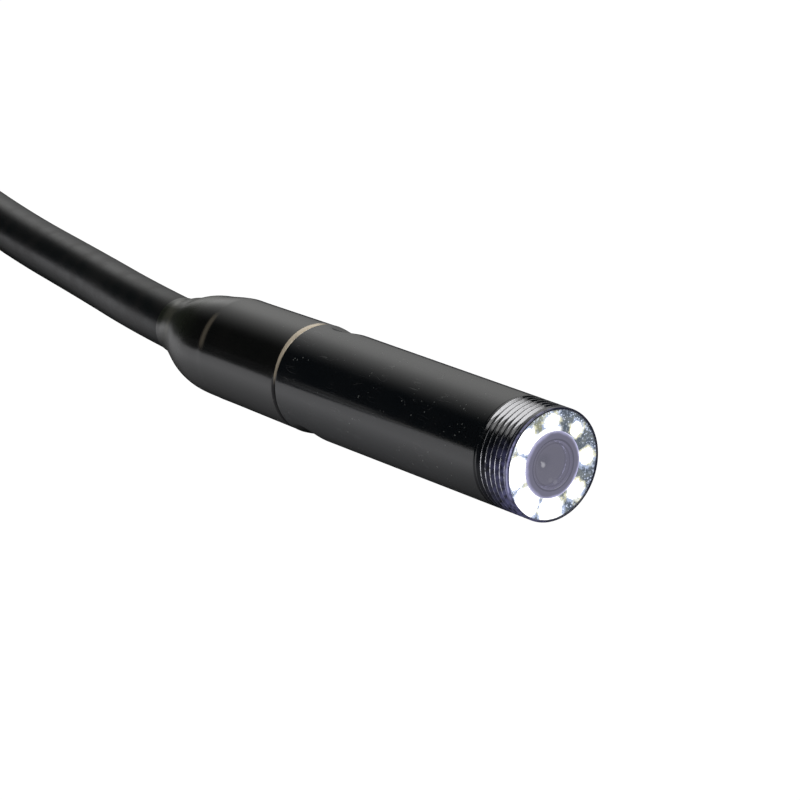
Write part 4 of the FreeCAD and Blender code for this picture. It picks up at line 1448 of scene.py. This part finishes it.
@dataclass(frozen=True)
class LensModule:
    """The lens's ring, its cover glass and the dished front of the lens tube.

    Attributes:
        ring: The ring's radius.
        seat: The radius of the seat that the cover glass lies in.
    """

    ring: float = 2.35
    seat: float = 1.7

    def make(self) -> None:
        """Makes the three pieces."""
        ring = [(0.06, self.seat), (0.02, self.seat + 0.04), (0.0, 1.9), (0.0, 2.2)]
        ring += rounded((0.13, 2.22), 0.13, 180, 90, 5)
        ring += [(6.0, self.ring), (6.0, 1.9), (4.2, 1.9), (4.2, 1.55), (0.6, 1.55), (0.6, self.seat)]
        fit(build("lens_ring", HEAD.turned(ring, 128)), Look.holder_grey, "lens_holder")
        glass = [(0.6, 1.67), (0.14, 1.68), (0.1, 1.64), (0.085, 1.2), (0.075, 0.6), (0.07, 0.05)]
        fit(build("cover_disc", HEAD.turned(glass, 96, looped=False)), Look.cover_clear, "cover_glass")
        dish = [(0.65, 1.53), (0.65, 1.4)]
        dish += flowing([(0.68, 1.36), (0.78, 1.1), (0.95, 0.75), (1.07, 0.45), (1.12, 0.18)], 5)
        dish += [(1.18, 0.16), (1.5, 0.16), (1.5, 1.22), (4.0, 1.22), (4.0, 1.53)]
        fit(build("lens_dish", HEAD.turned(dish, 96)), Look.optics_black, "lens_tube")


@dataclass(frozen=True)
class Sleeve:
    """The rubber sleeve over the rear housing, drawn down onto the cable and bent with it.

    Attributes:
        bore: Over the housing.
        cable_bore: Over the cable.
        flat: How much the shoulder is flattened on top.
        flat_angle: The middle of the flattened side, in degrees from the top.
        flat_starts: From and to where the flat grows, back from the nose.
        flat_ends: From and to where it goes again.
    """

    bore: float = 3.56
    cable_bore: float = 2.12
    flat: float = 0.28
    flat_angle: float = 20.0
    flat_starts: tuple[float, float] = (35.6, 38.4)
    flat_ends: tuple[float, float] = (40.6, 42.2)

    def flattened(self, back: float, radius: float) -> Radius:
        """The shoulder's radius, less where it is flattened.

        Args:
            back: The distance back from the nose.
            radius: The radius there without the flat.

        Returns:
            The radius as a function of the angle.
        """
        depth = self.flat * ease(back, *self.flat_starts) * (1 - ease(back, *self.flat_ends))
        middle = math.radians(self.flat_angle)
        return lambda angle: radius - depth * max(math.cos(angle - middle), 0.0) ** 2

    def make(self) -> bpy.types.Object:
        """Makes the sleeve."""
        edge = [(26.31, self.bore), (26.31, 3.8)] + rounded((26.45, 3.83), 0.14, 180, 90, 5)
        outside = flowing(
            [
                (26.8, 3.975), (30.0, 3.945), (34.0, 3.905), (35.2, 3.9), (35.55, 3.9), (35.8, 3.895),
                (36.2, 3.88), (37.4, 3.86), (38.5, 3.78), (39.5, 3.59), (40.3, 3.34), (41.0, 3.05),
                (42.0, 2.63), (42.8, 2.36), (43.4, 2.22), (43.9, 2.18),
            ],
            4,
        )
        end = SLEEVE_BEND.length
        inside = [(end, 2.17), (end, self.cable_bore), (41.5, self.cable_bore), (38.4, self.cable_bore)]
        inside += [(38.4, 3.4), (35.6, 3.4), (35.6, self.bore)]
        shoulder = [(back, self.flattened(back, radius)) for back, radius in outside]
        rings = [SLEEVE_BEND.at(back).ring(0.0, radius, 128) for back, radius in edge + shoulder + inside]
        return fit(build("sleeve_boot", loft(rings, looped=True)), Look.sleeve_rubber, "rear_sleeve")


@dataclass(frozen=True)
class CoilStrap:
    """The woven strap that ties the coil: a band round the turns, with its end pressed down on top.

    Attributes:
        thickness: Of the strap.
        corner: How round the band is at its corners.
        soft_edge: How round its edges are.
    """

    thickness: float = 0.5
    corner: float = 2.2
    soft_edge: float = 0.14

    def make(self) -> bpy.types.Object:
        """Makes the strap."""
        low, high = corners("coil_tie")
        width, height = high.x - low.x, high.z - low.z
        middle = (low + high) / 2

        def outline(y: float, inset: float) -> list[Vector]:
            """The band's outline at one place across it."""
            sides = rectangle(width, height, self.corner, inset)
            return [Vector((middle.x + x, y, middle.z + z)) for x, z in sides]

        soft, thick = self.soft_edge, self.thickness
        outer = [(low.y, soft), (low.y + soft, 0.0), (high.y - soft, 0.0), (high.y, soft)]
        inner = [(high.y, thick - soft), (high.y - soft, thick), (low.y + soft, thick)]
        band = [outline(y, inset) for y, inset in [(low.y, thick - soft)] + outer + inner]
        across = rectangle(high.y - low.y - 0.3, 0.5, 0.2)
        end = [
            [Vector((low.x + x, middle.y + y, high.z - 0.02 + lift)) for y, lift in across]
            for x in (2.4, 6.0, 9.6)
        ]
        return fit(build("coil_strap", loft(band, looped=True), loft(end)), Look.tie_fabric, "coil_tie")


@dataclass(frozen=True)
class PlugBody:
    """The plug: two moulded shells, their screws, the dimmer wheel, the picture button and the connector.

    Attributes:
        corner: The radius of the body's upright corners.
        edge: How round its top and bottom edges are.
        wall: The shells' thickness.
        seam: The width and depth of the groove between the shells.
        ribs: How many ribs the wheel has.
        play: The room round the connector in its mouth.
        slot_play: The room round the wheel in its slot.
    """

    corner: float = 3.0
    edge: float = 1.3
    wall: float = 1.2
    seam: float = 0.1
    ribs: int = 34
    play: float = 0.05
    slot_play: float = 0.3

    def shell(self, name: str, node: str, closed_low: bool, tools: Sequence[Skin]) -> bpy.types.Object:
        """One half of the body.

        Args:
            name: The piece's name.
            node: The CAD node that it stands for.
            closed_low: Its closed side is its low side.
            tools: What is taken out of it.

        Returns:
            The piece.
        """
        low, high = corners("plug_base")
        bottom, top = corners(node)[0].z, corners(node)[1].z
        if not closed_low:
            top = high.z * 2
        height = top - bottom
        middle = (low + high) / 2
        angles = [math.radians(a) for a in range(0, 91, 15)]
        levels = [(self.edge - self.edge * math.cos(a), self.edge * (1 - math.sin(a))) for a in angles]
        levels += [(height - self.seam * 1.6, 0.0), (height - self.seam, self.seam), (height, self.seam)]

        def ring(level: float, inset: float) -> list[Vector]:
            """The outline at a level above the closed side."""
            z = bottom + level if closed_low else top - level
            sides = rectangle(high.x - low.x, high.y - low.y, self.corner, inset)
            return [Vector((middle.x + x, middle.y + y, z)) for x, y in sides]

        body = build(name, loft([ring(level, inset) for level, inset in levels]))
        inset = self.wall
        cavity = [
            [Vector((p.x, p.y, z)) for p in ring(0.0, inset)]
            for z in ((bottom + inset, top + 1) if closed_low else (bottom - 1, top - inset))
        ]
        return fit(carve(body, loft(cavity), *tools), Look.plug_plastic, node)

    def make(self) -> list[bpy.types.Object]:
        """Makes the plug's pieces."""
        low, high = corners("plug_base")
        seam_height = high.z
        full = seam_height * 2
        y = (low.y + high.y) / 2
        wheel_low, wheel_high = corners("dimmer_wheel")
        button_low, button_high = corners("picture_button")
        case_low, case_high = corners("connector_shell")
        wheel = (wheel_low + wheel_high) / 2
        chord = math.sqrt((wheel_high.x - wheel.x) ** 2 - (wheel.y - low.y - self.wall) ** 2) + 0.35
        slot = block(
            (wheel.x - chord, low.y - 1, wheel_low.z - self.slot_play),
            (wheel.x + chord, low.y + 1.6, wheel_high.z + self.slot_play),
        )
        mouth = block(
            (high.x - 1.6, case_low.y - self.play, case_low.z - self.play),
            (high.x + 1, case_high.y + self.play, case_high.z + self.play),
        )
        relief = Spindle(Vector((low.x, y, seam_height)), Vector((-1, 0, 0)), Vector((0, 0, 1)))
        neck = relief.turned([(-1.6, 3.22), (1.0, 3.22)], 48, looped=False)
        button = upright((button_low.x + button_high.x) / 2, y)
        hole = [(full - 1.6, 2.62), (full - 0.25, 2.62), (full, 2.9), (full + 1, 2.9)]
        button_hole = button.turned(hole, 64, looped=False)
        screws_low, screws_high = corners("plug_screws")
        places = (screws_low.x + 1.6, screws_high.x - 1.6)
        recesses = []
        for x in places:
            for profile in ([(-1.0, 1.95), (0.0, 1.95), (0.15, 1.8), (1.0, 1.8)], [(0.9, 1.1), (1.5, 1.1)]):
                recesses.append(upright(x, y).turned(profile, 48, looped=False))
        return [
            self.shell("plug_lower_shell", "plug_base", True, [slot, mouth, neck, *recesses]),
            self.shell("plug_upper_shell", "plug_cover", False, [slot, mouth, neck, button_hole]),
            self.screws(places, y),
            self.wheel(),
            self.button(button),
            self.relief(relief),
            self.connector(),
        ]

    def screws(self, places: Sequence[float], y: float) -> bpy.types.Object:
        """The two screws, with cross recesses."""
        low, high = corners("plug_screws")
        length = high.z - low.z
        head, pitch = 0.9, 0.3
        profile = [(0.0, 1.2), (0.08, 1.45), (0.25, 1.58), (head, 1.6), (head, 0.85)]
        crests = [head + pitch * k for k in range(1, 20)]
        threads = [(d + step, r) for d in crests for step, r in ((0.0, 0.84), (pitch / 2, 0.68))]
        profile += [(d, r) for d, r in threads if d < length - pitch] + [(length, 0.4)]
        skins, crosses = [], []
        for x in places:
            skins.append(upright(x, y, low.z).turned(profile, 40, looped=False))
            for dx, dy in ((0.95, 0.16), (0.16, 0.95)):
                crosses.append(block((x - dx, y - dy, low.z - 0.5), (x + dx, y + dy, low.z + 0.45)))
        return fit(carve(build("shell_screws", *skins), *crosses), Look.screw_steel, "plug_screws")

    def wheel(self) -> bpy.types.Object:
        """The ribbed dimmer wheel."""
        low, high = corners("dimmer_wheel")
        middle = (low + high) / 2
        full = (high.x - low.x) / 2
        thick = high.z - low.z

        def ribbed(radius: float) -> Callable[[float], float]:
            """A radius that dips between the ribs."""
            return lambda a: radius - 0.22 * (0.5 - 0.5 * math.cos(self.ribs * a)) ** 2

        half = [(0.0, 1.05), (0.0, 1.9), (0.25, 2.1), (0.25, 3.7), (0.0, 3.9), (0.0, full - 0.45)]
        half += [(0.1, ribbed(full - 0.15)), (0.3, ribbed(full))]
        other = [(thick - distance, radius) for distance, radius in reversed(half)]
        turned = upright(middle.x, middle.y, low.z).turned(half + other, self.ribs * 8)
        return fit(build("thumb_wheel", turned), Look.wheel_plastic, "dimmer_wheel", body="dimmer")

    def button(self, line: Spindle) -> bpy.types.Object:
        """The picture button, with a dished top."""
        low, high = corners("picture_button")
        profile = [(low.z, 1.1), (low.z + 0.1, 1.2), (7.58, 1.2), (7.58, 3.15), (8.38, 3.15), (8.38, 2.5)]
        profile += rounded((high.z - 0.35, 2.15), 0.35, 90, 0, 5)
        profile += [(high.z - 0.02, 1.7), (high.z - 0.12, 1.2), (high.z - 0.18, 0.6), (high.z - 0.2, 0.05)]
        cap = build("shutter_button", line.turned(profile, 72, looped=False))
        return fit(cap, Look.button_plastic, "picture_button", body="button")

    def relief(self, line: Spindle) -> bpy.types.Object:
        """The ribbed strain relief: a taper outside, a neck through the wall and a flange inside."""
        profile = [(4.0, 2.16), (10.8, 2.16), (11.0, 2.3), (11.0, 2.8), (10.85, 3.0), (9.9, 3.1)]
        for start in (8.1, 6.1, 4.1, 2.1):
            root = 4.2 - (start + 1.0) * 1.2 / 11
            profile += [(start + 1.6, root - 0.05), (start + 1.4, root - 0.5), (start + 0.9, root - 0.46)]
            profile += [(start + 0.7, root + 0.02)]
        profile += [(0.2, 4.15), (0.0, 4.0), (0.0, 3.2), (-1.2, 3.2), (-1.2, 3.5), (-2.2, 3.5)]
        boot = build("plug_strain_relief", line.turned(profile, 72, looped=False))
        return fit(boot, Look.relief_rubber, "plug_relief")

    def connector(self) -> bpy.types.Object:
        """The connector's folded metal shell, with its latch windows."""
        low, high = corners("connector_shell")
        middle = (low + high) / 2

        def outline(x: float, inset: float) -> list[Vector]:
            """The shell's outline at one place along it."""
            sides = rectangle(high.y - low.y, high.z - low.z, 0.6, inset)
            return [Vector((x, middle.y + y, middle.z + z)) for y, z in sides]

        outer = [(low.x, 0.0), (high.x - 0.15, 0.0), (high.x, 0.1)]
        inner = [(high.x, 0.2), (high.x - 0.1, 0.3), (low.x, 0.3)]
        skin = loft([outline(x, inset) for x, inset in outer + inner], looped=True)
        near, far = high.x - 7.6, high.x - 5.1
        cuts = []
        for side in (middle.y - 2.5, middle.y + 2.5):
            for z in (low.z, high.z):
                cuts.append(block((near, side - 1.25, z - 0.6), (far, side + 1.25, z + 0.6)))
        groove = 0.04
        cuts.append(
            block((low.x + 2.2, middle.y - groove, low.z - 0.5), (high.x + 1, middle.y + groove, low.z + 0.1))
        )
        return fit(carve(build("connector_case", skin), *cuts), Look.connector_steel, "connector_shell")


def dress_carried_over() -> None:
    """Gives the CAD nodes that stay their finishes."""
    for look, names in CARRIED_OVER.items():
        for name in names:
            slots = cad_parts[name].data.materials
            slots.clear()
            slots.append(material_of(look))
            log.info("%s keeps its shape, finished as %s", name, look.name)


def main() -> None:
    """Builds the scene and the object, sub-assembly by sub-assembly."""
    logging.basicConfig(level=logging.INFO, format="%(name)s: %(message)s")
    Viewpoint().set_up()
    Studio().set_up()
    run = CableRun()
    cable = run.make()
    strap = CoilStrap().make()
    plug = PlugBody().make()
    inside = ("plug_board", "dimmer_pin", "button_switch", "plug_wires")
    inside += ("connector_tongue", "connector_contacts")
    run.declare()
    Barrel().make()
    LampRing().make()
    LensModule().make()
    Sleeve().make()
    dress_carried_over()


if __name__ == "__main__":
    main()
